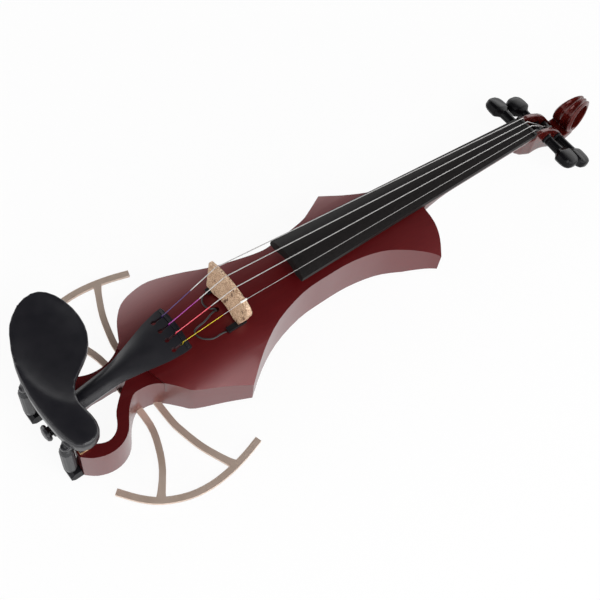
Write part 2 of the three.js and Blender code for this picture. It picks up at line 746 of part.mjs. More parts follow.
function makeElectronics() {
  const holes = coverScrewPlaces.map(([x, y]) => screwCut(x, y, coverScrewLength));
  const cover = prism(cavityOutline(coverLip - fitGap), 0, coverThickness);
  place("back_cover", cut(cover, ...holes), blackPlastic());
  coverScrewPlaces.forEach(([x, y], i) =>
    place(`cover_screw_${i + 1}`, screw(x, y, coverScrewLength), screwSteel()));

  const batteryHigh = cavityDepth - fitGap;
  const batteryTail = (cavityTail + cavityNeckX - batteryLength) / 2;
  const batteryY = cavityBassY - fitGap * 2 - batteryWidth;
  const cell = box(
    vector(batteryTail, batteryY, batteryHigh - batteryThickness),
    vector(batteryTail + batteryLength - terminalHeight, batteryY + batteryWidth, batteryHigh),
  );
  const terminals = terminalShares.map((terminalShare) =>
    rod(terminalRadius, 0, terminalHeight, smallSides).rotateY(Math.PI / 2).translate(
      batteryTail + batteryLength - terminalHeight,
      batteryY + batteryWidth * terminalShare,
      batteryHigh - batteryThickness / 2,
    ));
  place("battery", join(cell, ...terminals), finish(0x3a3d42, 0.4));

  const boardTop = boardHeight + boardThickness;
  const boardX = (cavityTail + cavityNeckX) / 2;
  const boardY = cavityTrebleY + fitGap * 2 + preampWidth / 2;
  const board = box(
    vector(boardX - preampLength / 2, boardY - preampWidth / 2, boardHeight),
    vector(boardX + preampLength / 2, boardY + preampWidth / 2, boardTop),
  );
  const spacers = [[-1, -1], [-1, 1], [1, -1], [1, 1]].map(([u, v]) =>
    rod(spacerRadius, boardHeight, batteryHigh, smallSides).translate(
      boardX + u * (preampLength / 2 - spacerRadius * 1.5),
        boardY + v * (preampWidth / 2 - spacerRadius * 1.5), 0,
    ));
  const chip = box(
    vector(boardX - preampWidth / 4, boardY - preampWidth / 6, boardHeight - boardThickness * 1.5),
    vector(boardX + preampWidth / 6, boardY + preampWidth / 8, boardHeight),
  );
  const capacitors = capacitorShares.map((lengthShare) =>
    rod(preampWidth / 9, boardHeight - preampWidth / 4, boardHeight, smallSides)
      .translate(boardX + preampLength * lengthShare, boardY + preampWidth / 4, 0));
  place("preamp_board", join(board, ...spacers, chip, ...capacitors), finish(0x2c5a3a, 0.6));
}

function wheelShape() {
  const outline = [];
  for (let i = 0; i < wheelTeeth * 2; i += 1) {
    const angle = (i * Math.PI) / wheelTeeth;
    const radius = i % 2 ? wheelRadius - wheelToothDepth : wheelRadius;
    outline.push(new THREE.Vector2(radius * Math.cos(angle), radius * Math.sin(angle)));
  }
  const bore = rod(wheelShaftRadius + runningGap, wheelLow + wheelThickness / 3, wheelLow + cutOverrun);
  return cut(prism(outline, wheelLow, wheelLow + wheelThickness), bore);
}

// A thumbwheel in its slot, on the shaft of a control in the roof of the cavity
function makeControls() {
  const canLow = wheelLow + wheelThickness + wheelSlotMargin;
  Object.entries(wheelPlaces).forEach(([name, at]) => {
    const can = join(
      rod(controlCanRadius, canLow, cavityDepth - fitGap),
      rod(wheelShaftRadius, wheelLow + wheelThickness / 2, canLow + fitGap),
    );
    place(`${name}_control`, geometryOf(can).translate(at.x, at.y, 0), greyPlastic());
    place(`${name}_wheel`, geometryOf(wheelShape()).translate(at.x, at.y, 0), blackPlastic());
  });
  const shell = join(
    rodOut(jackRadius, cavityBassY + fitGap, jackFace),
    rodOut(jackFlangeRadius, jackFace - jackFlangeThickness, jackFace),
  );
  const socket = rodOut(jackBoreRadius, jackFace - jackBoreDepth, jackFace + cutOverrun);
  place("output_jack", geometryOf(cut(shell, socket)).translate(jackX, 0, jackHeight), blackPlastic());
}

// Fingerboard, in the plane of the strings: +X along them, z = 0 at the outer strings
const boardShare = (along) => (along - boardStart) / (stringLength - boardStart);
const boardHalfWidth = (along) => mix(boardHalfWidthWide, boardHalfWidthNut, boardShare(along));
const boardSagitta = (across) => boardRadius - Math.sqrt(boardRadius ** 2 - across ** 2);
const boardTop = (along, across) =>
  -mix(boardDropWide, boardDropNut, boardShare(along)) - boardSagitta(across);
const boardUnder = (along) => mix(
  -boardDropWide - boardSagitta(boardHalfWidthWide) - boardEdgeThickness,
  -boardDropNut - boardSagitta(boardHalfWidthNut) - boardEdgeThickness,
  boardShare(along),
);
const stringPitch = THREE.MathUtils.degToRad(stringPitchAngle);

// From the plane of the strings to the body frame
const stringFrame = new THREE.Matrix4().makeRotationY(stringPitch).setPosition(0, 0, bridgeStringHeight);
const inBody = (along, across, up) => vector(along, across, up).applyMatrix4(stringFrame);

function boardRing(along) {
  const half = boardHalfWidth(along);
  const steps = 8;
  const ring = [];
  for (let i = 0; i <= steps; i += 1) {
    const across = mix(-half, half, i / steps);
    ring.push(inBody(along, across, boardTop(along, across)));
  }
  const foot = half - neckInset;
  ring.push(inBody(along, half, boardUnder(along) + neckInset), inBody(along, foot, boardUnder(along)));
  ring.push(inBody(along, -foot, boardUnder(along)), inBody(along, -half, boardUnder(along) + neckInset));
  return ring;
}

function makeFingerboard() {
  const stations = 6;
  const rings = [];
  for (let i = 0; i <= stations; i += 1) rings.push(boardRing(mix(boardStart, stringLength, i / stations)));
  const under = boardUnder(boardStart);
  const hollow = rod(boardHollowRadius, -cutOverrun, boardHollowLength, turnSides * 2).rotateY(Math.PI / 2)
    .translate(boardStart, 0, under - boardHollowRadius + boardHollowDepth).applyMatrix4(stringFrame);
  place("fingerboard", cut(loft(rings), hollow), ebony());

  const nutTop = (across) => -stringRadiusG + nutStringCrown * (1 - (across / boardHalfWidthNut) ** 2);
  const nutRing = (along, drop) => {
    const ring = [];
    for (let i = 0; i <= 8; i += 1) {
      const across = mix(-boardHalfWidthNut, boardHalfWidthNut, i / 8);
      ring.push(inBody(along, across, nutTop(across) - drop));
    }
    const seat = boardUnder(stringLength) + glueGap;
    ring.push(inBody(along, boardHalfWidthNut, seat), inBody(along, -boardHalfWidthNut, seat));
    return ring;
  };
  const start = stringLength + glueGap;
  const grooves = Object.keys(stringSideShares).map((name) => {
    const groove = stringRadius(name) + stringSeat;
    return cordGroove(stringAt(name, stringLength - nutLength),
      stringAt(name, stringLength + nutLength * 2), groove);
  });
  const nut = loft([nutRing(start, stringSeat), nutRing(start + nutLength / 3, 0),
    nutRing(start + nutLength, nutLength / 4)]);
  place("nut", cut(nut, ...grooves), ebony());
}

const stringRadius = (name) =>
  ({ g: stringRadiusG, d: stringRadiusD, a: stringRadiusA, e: stringRadiusE })[name];

// A point on a string's own line, at a length from the bridge
function stringAt(name, along) {
  const share = along / stringLength;
  const side = stringSideShares[name];
  const crown = 1 - (side / 0.5) ** 2;
  const across = side * mix(bridgeStringSpread, nutStringSpread, share);
  return inBody(along, across, crown * mix(bridgeStringCrown, nutStringCrown, share));
}

// A round groove between two points, open above
function cordGroove(from, to, radius) {
  const direction = to.clone().sub(from);
  const length = direction.length();
  const groove = new THREE.BoxGeometry(length, radius * 2, radius * 8).translate(length / 2, 0, radius * 3);
  const turn = new THREE.Quaternion().setFromUnitVectors(vector(1, 0, 0), direction.normalize());
  return groove.applyQuaternion(turn).translate(from.x, from.y, from.z);
}

function makeNeck() {
  const ring = (x, low) => {
    const along = x / Math.cos(stringPitch);
    const high = inBody(along, 0, boardUnder(along)).z - glueGap;
    const half = boardHalfWidth(along) - neckInset;
    const points = [];
    const steps = 12;
    for (let i = 0; i <= steps; i += 1) {
      const angle = Math.PI * (i / steps);
      points.push(vector(x, half * Math.cos(angle), high - (high - low) * Math.sin(angle) ** neckFullness));
    }
    return points;
  };
  const neckEnd = nutSeat.x + nutLength + glueGap;
  const lowAt = (x) => {
    const share = (x - neckReach) / (neckEnd - neckReach);
    const along = x / Math.cos(stringPitch);
    return inBody(along, 0, boardTop(along, 0)).z - mix(neckThicknessBody, neckThicknessNut, share);
  };
  const stations = [neckReach + glueGap];
  const rings = [ring(stations[0], heelLow)];
  [0.12, 0.3, 0.55, 0.8, 1].forEach((share) => {
    const x = neckReach + heelLength * share;
    rings.push(ring(x, mix(heelLow, lowAt(x), Math.sin((Math.PI / 2) * share) ** 0.8)));
  });
  [0.4, 0.7, 1].forEach((share) => {
    const x = mix(neckReach + heelLength, neckEnd, share);
    rings.push(ring(x, lowAt(x)));
  });
  const tenonTop = (x) =>
    inBody(x / Math.cos(stringPitch), 0, boardUnder(x / Math.cos(stringPitch))).z - glueGap;
  const tenonStart = neckReach - tenonLength;
  const tenonEnd = neckReach + tenonLength / 8;
  const tenon = sidePrism(
    [[tenonStart, tenonLow], [tenonEnd, tenonLow], [tenonEnd, tenonTop(tenonEnd)],
      [tenonStart, tenonTop(tenonStart)]]
      .map(([x, z]) => new THREE.Vector2(x, z)),
    -tenonWidth / 2, tenonWidth / 2,
  );
  return join(loft(rings), tenon);
}

const nutSeat = inBody(stringLength, 0, 0);
const headStart = nutSeat.x - headLead;
const headLow = nutSeat.z - headDrop;
const pegboxStart = nutSeat.x + nutLength + glueGap * 2;
const scrollX = nutSeat.x + scrollAlong;
const scrollZ = nutSeat.z - scrollDrop;
const cheekHalfWidth = (x) => mix(pegboxHalfWidthNut, pegboxHalfWidthEnd, (x - pegboxStart) / pegboxLength);

const placedPeg = ({ along, drop, reach, side, turnAngle }) =>
  ({ x: nutSeat.x + along, z: nutSeat.z - drop, reach, side, turn: THREE.MathUtils.degToRad(turnAngle) });
const pegs = { g: placedPeg(pegG), d: placedPeg(pegD), a: placedPeg(pegA), e: placedPeg(pegE) };

// One cross-section of the head: flat above, upright sides, rounded lower corners
function headRing(x, high, low, half) {
  const ring = [vector(x, -half, high), vector(x, half, high)];
  const steps = 3;
  [1, -1].forEach((side) => {
    for (let i = 0; i <= steps; i += 1) {
      const angle = (Math.PI / 2) * (side > 0 ? i / steps : 1 - i / steps);
      ring.push(vector(
        x, side * (half - pegboxCorner * (1 - Math.cos(angle))), low + pegboxCorner * (1 - Math.sin(angle)),
      ));
    }
  });
  return ring;
}

// The head from the chin under the nut to the root of the scroll
function makePegbox() {
  const at = (along) => headStart + along * headLength;
  const up = (height) => headLow + height * headDepth;
  const chin = chinShares.map(([along, low, wide]) =>
    headRing(at(along), up(chinTopShare), up(low), wide * pegboxHalfWidthNut));
  const step = headRing(pegboxStart - glueGap, up(chinTopShare), up(pegboxShares[0][2]), pegboxHalfWidthNut);
  const cheeks = pegboxShares.map(([along, high, low], i) => {
    const x = i ? at(along) : pegboxStart;
    return headRing(x, up(high), up(low), cheekHalfWidth(x));
  });
  return loft([...chin, step, ...cheeks]);
}

// The ring of the scroll, wider towards its root than at its top and tip
function scrollRing() {
  const half = scrollSectionShares.map(([inward, across]) =>
    [mix(scrollRadius, scrollEyeRadius, inward), scrollHalfWidth * across]);
  const lower = half.slice(1).toReversed().map(([r, h]) => [r, -h]);
  const section = [...lower, ...half];
  const ring = turnedOut([...section, section[0]], scrollSides);
  const points = ring.attributes.position;
  for (let i = 0; i < points.count; i += 1) {
    const lean = (scrollTopTaperShare * points.getZ(i) + scrollTipTaperShare *
      points.getX(i)) / scrollRadius;
    points.setY(i, points.getY(i) * (1 - lean));
  }
  return ring.translate(scrollX, 0, scrollZ);
}

// The slot between the cheeks, its floor stepped down under the spools
function pegboxCavity() {
  const end = pegboxStart + pegboxLength;
  const floorDrop = spoolRadius + stringRadiusG * 4 + fitGap * 2;
  const start = pegboxStart - glueGap;
  const profile = [
    [start, nutSeat.z + headDepth], [start, pegs.g.z], [pegs.g.x - spoolRadius, pegs.g.z - floorDrop],
    [pegs.e.x - floorDrop, pegs.e.z - floorDrop], [pegs.d.x - floorDrop, pegs.d.z - floorDrop],
    [pegs.a.x + floorDrop / 2, pegs.a.z - floorDrop], [end, pegs.a.z], [end, nutSeat.z + headDepth],
  ].map(([x, z]) => new THREE.Vector2(x, z));
  const near = pegboxHalfWidthNut - pegboxWall;
  const far = pegboxHalfWidthEnd - pegboxWall;
  const plan = [[start, near], [end, far], [end, -far], [start, -near]].map(([x, y]) =>
    new THREE.Vector2(x, y));
  return common(sidePrism(profile, -pegboxHalfWidthNut, pegboxHalfWidthNut),
    prism(plan, -headDepth, nutSeat.z + headDepth));
}

function makeHead() {
  const eye = rodOut(scrollEyeRadius, -cutOverrun, cutOverrun, scrollSides).translate(scrollX, 0, scrollZ);
  const holes = Object.values(pegs).flatMap((peg) => {
    const cheek = cheekHalfWidth(peg.x);
    const near = join(
      rodOut(housingRadius + fitGap, 0, cheek + cutOverrun),
      rodOut(housingFlangeRadius + fitGap, cheek - fitGap, cheek + cutOverrun),
    );
    const far = rodOut(spoolJournalRadius + fitGap, -(cheek - pegboxWall) - spoolJournalLength - fitGap, 0);
    return [geometryOf(near), far].map((hole) =>
      hole.rotateZ(peg.side > 0 ? 0 : Math.PI).translate(peg.x, 0, peg.z));
  });
  const blank = cut(join(makePegbox(), scrollRing()), eye, pegboxCavity());
  place("neck_and_scroll", cut(join(makeNeck(), blank), ...holes), varnish());
}

// A share of a circle's reach pushed outwards, for a section between an ellipse and a rectangle
const fuller = (reach) => Math.sign(reach) * Math.abs(reach) ** thumbFullness;

// One geared peg: fixed housing, turning head, and the spool that it drives at a reduced speed
function makePeg(name, peg) {
  const cheek = cheekHalfWidth(peg.x);
  const inner = cheek - pegboxWall;
  const group = new THREE.Group();
  group.position.set(peg.x, 0, peg.z);
  group.rotation.z = peg.side > 0 ? 0 : Math.PI;
  violin.add(group);

  const outer = cheek + housingReach;
  const bore = spindleRadius + runningGap;
  const housing = turnedOut([
    [0, inner + spindleLength / 2], [bore, inner + spindleLength / 2], [bore, inner], [housingRadius, inner],
    [housingRadius, cheek], [housingFlangeRadius, cheek], [housingFlangeRadius, cheek + housingReach / 2],
    [housingRadius, outer], [bore, outer], [bore, outer - spindleLength], [0, outer - spindleLength],
  ]);
  place(`peg_${name}_housing`, housing, blackPlastic(), group);

  const spool = turnedOut([
    [0, -inner - spoolJournalLength], [spoolJournalRadius, -inner - spoolJournalLength],
    [spoolJournalRadius, -inner + fitGap], [spoolRadius, -inner + fitGap], [spoolRadius, inner - fitGap],
    [spindleRadius, inner - fitGap], [spindleRadius, inner + spindleLength / 2 - fitGap],
    [0, inner + spindleLength / 2 - fitGap],
  ]);
  place(`peg_${name}_spool`, spool, greyPlastic(), group);

  const thumbStart = peg.reach - thumbLength / 2;
  const sleeveStart = outer + fitGap;
  const stem = turnedOut([
    [0, sleeveStart - spindleLength], [spindleRadius, sleeveStart - spindleLength],
    [spindleRadius, sleeveStart],
    ...sleeveShares.map(([along, wide]) => [pegSleeveRadius * wide, mix(sleeveStart, thumbStart, along)]),
    [pegSleeveRadius, thumbStart + thumbLength / 9], [0, thumbStart + thumbLength / 9],
  ]);
  const rings = thumbShares.map(([along, wide, thick]) => {
    const ring = [];
    for (let i = 0; i < smallSides; i += 1) {
      const angle = ((i + 0.5) * Math.PI * 2) / smallSides;
      const across = thumbHalfWidth * wide * fuller(Math.cos(angle));
      ring.push(vector(across, thumbStart + thumbLength * along,
        thumbHalfThickness * thick * fuller(Math.sin(angle))));
    }
    return ring;
  });
  const head = geometryOf(join(stem, loft(rings))).rotateY(peg.side * peg.turn);
  place(`peg_${name}_head`, head, blackPlastic(), group);
}

function makeBridge() {
  const low = (y) => topHeight(0, y) + pickupThickness + fitGap * 2;
  const crest = (y) =>
    bridgeStringHeight + bridgeStringCrown * (1 - (y / (bridgeStringSpread / 2)) ** 2) + bridgeCrestRise;
  const height = crest(0) - low(bridgeHalfWidth);
  const base = low(bridgeHalfWidth);
  const at = ([across, up]) => [bridgeHalfWidth * across, base + height * up];
  const side = [...bridgeSideShares.map(at), [bridgeTopHalfWidth, crest(bridgeTopHalfWidth)]];
  const footInner = bridgeHalfWidth * bridgeFootInnerShare;
  const arch = [...bridgeArchShares.map(at), [footInner, low(footInner)]];
  const crown = [];
  for (let i = 0; i <= 12; i += 1) {
    const y = mix(bridgeTopHalfWidth, -bridgeTopHalfWidth, i / 12);
    crown.push([y, crest(y)]);
  }
  const mirrored = (points) => points.map(([y, z]) => [-y, z]).toReversed();
  const outline = [...side, ...crown.slice(1, -1), ...mirrored(side), ...mirrored(arch), ...arch.slice(1)];
  const blank = frontPrism(outline.map(([y, z]) => new THREE.Vector2(y, z)), -bridgeFootThickness,
    bridgeFootThickness);
  const half = bridgeFootThickness / 2;
  const taper = [
    [-half, 0], [half, 0], [half, base + height * bridgeWaistShare], [bridgeTopThickness / 2, crest(0)],
    [-bridgeTopThickness / 2, crest(0)], [-half, base + height * bridgeWaistShare],
  ].map(([x, z]) => new THREE.Vector2(x, z));
  const heartOutline = bridgeHeartShares.map(at).map(([y, z]) => new THREE.Vector2(y, z));
  const heart = frontPrism(heartOutline, -bridgeFootThickness, bridgeFootThickness);
  const [kidneyY, kidneyZ] = at(bridgeKidneyShares);
  const kidneys = [-1, 1].map((sign) =>
    rod(bridgeKidneyRadius, -bridgeFootThickness, bridgeFootThickness, smallSides)
    .rotateY(Math.PI / 2).translate(0, sign * kidneyY, kidneyZ));
  const grooves = Object.keys(stringSideShares).map((name) =>
    cordGroove(stringAt(name, -bridgeFootThickness), stringAt(name, bridgeFootThickness),
      stringRadius(name) + stringSeat));
  const solid = cut(common(blank, sidePrism(taper, -bridgeHalfWidth * 2, bridgeHalfWidth * 2)), heart,
    ...kidneys, ...grooves);
  place("bridge", solid, maple());

  const pad = (sign) => {
    const inner = bridgeHalfWidth - pickupWidth;
    const low = (y) => topHeight(0, y) + fitGap;
    const points = [[inner, low(inner)], [bridgeHalfWidth, low(bridgeHalfWidth)],
      [bridgeHalfWidth, low(bridgeHalfWidth) + pickupThickness], [inner, low(inner) + pickupThickness]];
    return frontPrism(points.map(([y, z]) => new THREE.Vector2(sign * y, z)), -half - fitGap * 3, half);
  };
  const block = (sign, length) => {
    const y = bridgeHalfWidth - pickupBlockWidth / 2;
    const seat = topHeight(-half - length, y + pickupBlockWidth / 2) + fitGap;
    return box(
      vector(-half - length, sign * y - pickupBlockWidth / 2,
        Math.max(seat, topHeight(-half - length, y - pickupBlockWidth / 2) + fitGap)),
      vector(-half - fitGap, sign * y + pickupBlockWidth / 2, seat + pickupBlockHeight),
    );
  };
  place("pickup_treble", join(pad(-1), block(-1, pickupBlockLength)), blackPlastic());
  place("pickup_bass", join(pad(1), block(1, bassBlockLength)), blackPlastic());
}

// Each lead runs from its pickup over the top and down through the lead hole
function makeLeads() {
  const ride = (x, y) => vector(x, y, topHeight(x, y) + leadRadius + fitGap);
  const routed = ([along, across]) => ride(-along * leadReach, across * bridgeHalfWidth);
  const exitY = bridgeHalfWidth - pickupBlockWidth / 2;
  const half = bridgeFootThickness / 2;
  const down = (y) => [
    vector(leadHoleX - leadRadius * 1.6, y, topHeight(leadHoleX, y) + leadRadius),
    vector(leadHoleX, y, topHeight(leadHoleX, y) - leadRadius * 2.5),
    vector(leadHoleX, y, mix(archHeight, leadEndHeight, 0.5)), vector(leadHoleX, y, leadEndHeight),
  ];
  const apart = leadRadius * 1.3;
  const treble = [
    ride(-half - pickupBlockLength - fitGap, -exitY), ...trebleLeadShares.map(routed),
      ...down(leadHoleY - apart),
  ];
  const bass = [ride(-half - bassBlockLength - fitGap, exitY), ...bassLeadShares.map(routed),
    ...down(leadHoleY + apart)];
  place("pickup_lead_treble", smoothCord(treble, leadRadius, leadSteps.treble), blackPlastic());
  place("pickup_lead_bass", smoothCord(bass, leadRadius, leadSteps.bass), blackPlastic());
}

// Tailpiece surfaces
const tailpieceTop = (x) => {
  const along = (-x - tailpieceHead) / (tailpieceTail - tailpieceHead);
  return mix(tailpieceHeight, tailpieceTailHeight, along);
};
const tailCordHeight = tailpieceTop(-tailpieceTail) - tailpieceCrown - tailpieceEdge * 0.3;
const ridgeX = -tailpieceHead - ridgeOffset;
const ridgeCrown = tailpieceShares[0][2] * tailpieceCrown;
const stringSlotY = (name) => stringSideShares[name] * 3 * slotSpacing;

// One cross-section of the tailpiece: crowned above, hollowed below towards its head
function tailpieceRing([along, wide, crown]) {
  const x = -mix(tailpieceHead, tailpieceTail, along);
  const half = tailpieceHalfWidth * wide;
  const drop = tailpieceCrown * crown;
  const steps = 10;
  const ring = [];
  for (let i = 0; i <= steps; i += 1) {
    const side = mix(-1, 1, i / steps);
    ring.push(vector(x - tailpieceCrown * 0.5 * side ** 2 * (1 - along), half * side,
      tailpieceTop(x) - drop * side ** 2));
  }
  const low = tailpieceTop(x) - drop - tailpieceEdge;
  for (let i = 0; i <= 4; i += 1) {
    const side = mix(0.92, -0.92, i / 4);
    ring.push(vector(x, half * side, low + drop * (1 - along) * (1 - side ** 2)));
  }
  return ring;
}

function makeTailpiece() {
  const slotFront = ridgeX - ridgeWidth / 2 - glueGap;
  const above = tailpieceHeight + cutOverrun;
  const slots = Object.keys(stringSideShares).map((name) => {
    const y = stringSlotY(name);
    const hole = rod(keyholeRadius, 0, above, smallSides).translate(slotFront - slotLength, y, 0);
    return join(hole, box(vector(slotFront - slotLength, y - slotHalfWidth, 0),
      vector(slotFront, y + slotHalfWidth, above)));
  });
  const cordBores = [-1, 1].map((sign) =>
    rod(tailCordRadius + fitGap, -cutOverrun, tailCordGrip + fitGap, smallSides)
    .rotateY(Math.PI / 2).translate(-tailpieceTail, (sign * tailCordSpacing) / 2, tailCordHeight));
  const ridgeSeat = ridgeShape(glueGap, 0, ridgeHeight + cutOverrun);
  place("tailpiece", cut(loft(tailpieceShares.map(tailpieceRing)), ...slots, ...cordBores, ridgeSeat),
    ebony());
  const grooves = Object.keys(stringSideShares).map((name) => {
    const y = stringSlotY(name);
    const half = stringRadius(name) + stringSeat;
    return box(
      vector(ridgeX - ridgeWidth, y - half, stringTailRoute(name).at(-1).z - half),
        vector(ridgeX + ridgeWidth, y + half, above),
    );
  });
  place("tailpiece_ridge", cut(ridgeShape(0, glueGap, ridgeHeight), ...grooves), ebony());
}

// The string ridge: a thin crowned bar let into the tailpiece near its head
function ridgeShape(margin, lift, rise) {
  const half = tailpieceHalfWidth - tailpieceCrown / 2 + margin;
  const height = (side) => tailpieceTop(ridgeX) - ridgeCrown * side ** 2;
  const points = [];
  for (let i = 0; i <= 8; i += 1) {
    const side = mix(1, -1, i / 8);
    points.push(new THREE.Vector2(half * side, height(side) + rise));
  }
  for (let i = 0; i <= 8; i += 1) {
    const side = mix(-1, 1, i / 8);
    points.push(new THREE.Vector2(half * side, height(side) - ridgeHeight + lift));
  }
  return frontPrism(points, ridgeX - ridgeWidth / 2 - margin, ridgeX + ridgeWidth / 2 + margin);
}

// The end of a string under the tailpiece, up through its slot and over the ridge
function stringTailRoute(name) {
  const y = stringSlotY(name);
  const radius = stringRadius(name);
  const surface = tailpieceTop(ridgeX) - ridgeCrown * (y / tailpieceHalfWidth) ** 2;
  const seat = surface + ridgeHeight / 2;
  const slotX = ridgeX - ridgeWidth / 2 - radius - fitGap;
  const under = surface - tailpieceEdge - fitGap * 3;
  return [
    vector(slotX - radius, y, under - ballEndRadius),
    vector(slotX, y, under + fitGap),
    vector(slotX, y, seat + radius * 0.3),
    vector(ridgeX - ridgeWidth / 2 + stringSeat, y, seat + radius + stringSeat),
    vector(ridgeX + ridgeWidth / 2, y, seat + radius + stringSeat),
  ];
}

// The end of a string from the nut to its spool, with one and a half turns round it
function stringPegRoute(name) {
  const peg = pegs[name];
  const radius = stringRadius(name);
  const turnSteps = 9;
  const wrap = (spoolRadius + radius + runningGap) / Math.cos(Math.PI / turnSteps);
  const leave = stringAt(name, stringLength + nutLength + fitGap);
  const pitch = radius * 2 + runningGap;
  const wrapY = leave.y * 0.55;
  const away = Math.sign(wrapY || 1);
  const points = [leave];
  const toLeave = Math.atan2(leave.z - peg.z, leave.x - peg.x);
  const tangentAngle = toLeave - Math.acos(wrap / Math.hypot(leave.z - peg.z, leave.x - peg.x));
  for (let i = 0; i <= turnSteps * 1.5; i += 1) {
    const angle = tangentAngle - (i / turnSteps) * Math.PI * 2;
    points.push(vector(peg.x + wrap * Math.cos(angle), wrapY - away * pitch * (i / turnSteps),
      peg.z + wrap * Math.sin(angle)));
  }
  return points;
}

function makeStrings() {
  const finishes = { g: 0xcfcfd2, d: 0xd2d2d4, a: 0xd6d6d6, e: 0xdcdcdc };
  Object.keys(stringSideShares).forEach((name) => {
    const tail = stringTailRoute(name);
    const crest = bridgeTopThickness / 2;
    const rise = stringAt(name, -crest);
    const points = [...tail];
    const afterSteps = 3;
    for (let i = 1; i < afterSteps; i += 1) points.push(tail.at(-1).clone().lerp(rise, i / afterSteps));
    points.push(rise, stringAt(name, crest));
    const speakingSteps = 4;
    for (let i = 1; i < speakingSteps; i += 1) points.push(stringAt(name,
      (stringLength * i) / speakingSteps));
    points.push(stringAt(name, stringLength), ...stringPegRoute(name));
    const ball = rodOut(ballEndRadius, -ballEndLength / 2, ballEndLength / 2, smallSides)
      .translate(tail[0].x, tail[0].y, tail[0].z);
    place(`string_${name}`, join(cord(points, stringRadius(name)), ball), finish(finishes[name], 0.3, 1));
  });
}

function makeTailFittings() {
  const endX = -tailReach;
  const wrap = buttonNeckRadius + tailCordRadius + runningGap;
  const cordX = endX - buttonNeckLength / 2 - fitGap;
  const half = tailCordSpacing / 2;
  const saddleTop = armHeight + saddleRise;
  const side = (sign) => [
    vector(-tailpieceTail + tailCordGrip, sign * half, tailCordHeight),
      vector(-tailpieceTail - fitGap, sign * half, tailCordHeight),
    vector(endX + saddleLength, sign * half, saddleTop + tailCordRadius + fitGap),
    vector(endX + saddleLength * 0.3, sign * half, saddleTop + tailCordRadius + fitGap),
    vector(endX - tailCordRadius, sign * half, saddleTop - tailCordRadius * 0.2),
    vector(cordX, sign * (half + fitGap), saddleTop - tailCordRadius * 3),
    vector(cordX, sign * mix(half, wrap, 0.6), mix(saddleTop, buttonHeight, 0.5)),
      vector(cordX, sign * wrap, buttonHeight + tailCordRadius),
  ];
  const loop = [];
  const steps = 10;
  for (let i = 0; i <= steps; i += 1) {
    const angle = (Math.PI * i) / steps;
    loop.push(vector(cordX, wrap * Math.cos(angle), buttonHeight - wrap * Math.sin(angle)));
  }
  place("tail_cord", cord([...side(1), ...loop, ...side(-1).toReversed()], tailCordRadius), blackPlastic());

  const saddle = sidePrism(
    [[endX, armHeight - saddleSink], [endX + saddleLength, armHeight - saddleSink],
    [endX + saddleLength, armHeight + saddleRise * 0.7],
      [endX + saddleLength * 0.7, saddleTop], [endX + saddleLength * 0.25, saddleTop],
        [endX, armHeight + saddleRise * 0.5]]
      .map(([x, z]) => new THREE.Vector2(x, z)),
    -saddleHalfWidth, saddleHalfWidth,
  );
  place("saddle", saddle, ebony());

  const neckHigh = fitGap + buttonNeckLength;
  const button = turnedUp([
    [0, -buttonShankLength], [buttonShankRadius * 0.9, -buttonShankLength], [buttonShankRadius, 0],
    [buttonShankRadius, fitGap],
    [buttonNeckRadius, fitGap], [buttonNeckRadius, neckHigh],
    ...buttonHeadShares.map(([out, wide]) => [buttonRadius * wide, neckHigh + buttonHeadThickness * out]),
    [0, neckHigh + buttonHeadThickness],
  ]).rotateY(-Math.PI / 2).translate(endX, 0, buttonHeight);
  place("end_button", button, ebony());
}

const clampSides = { bass: 1, treble: -1 };

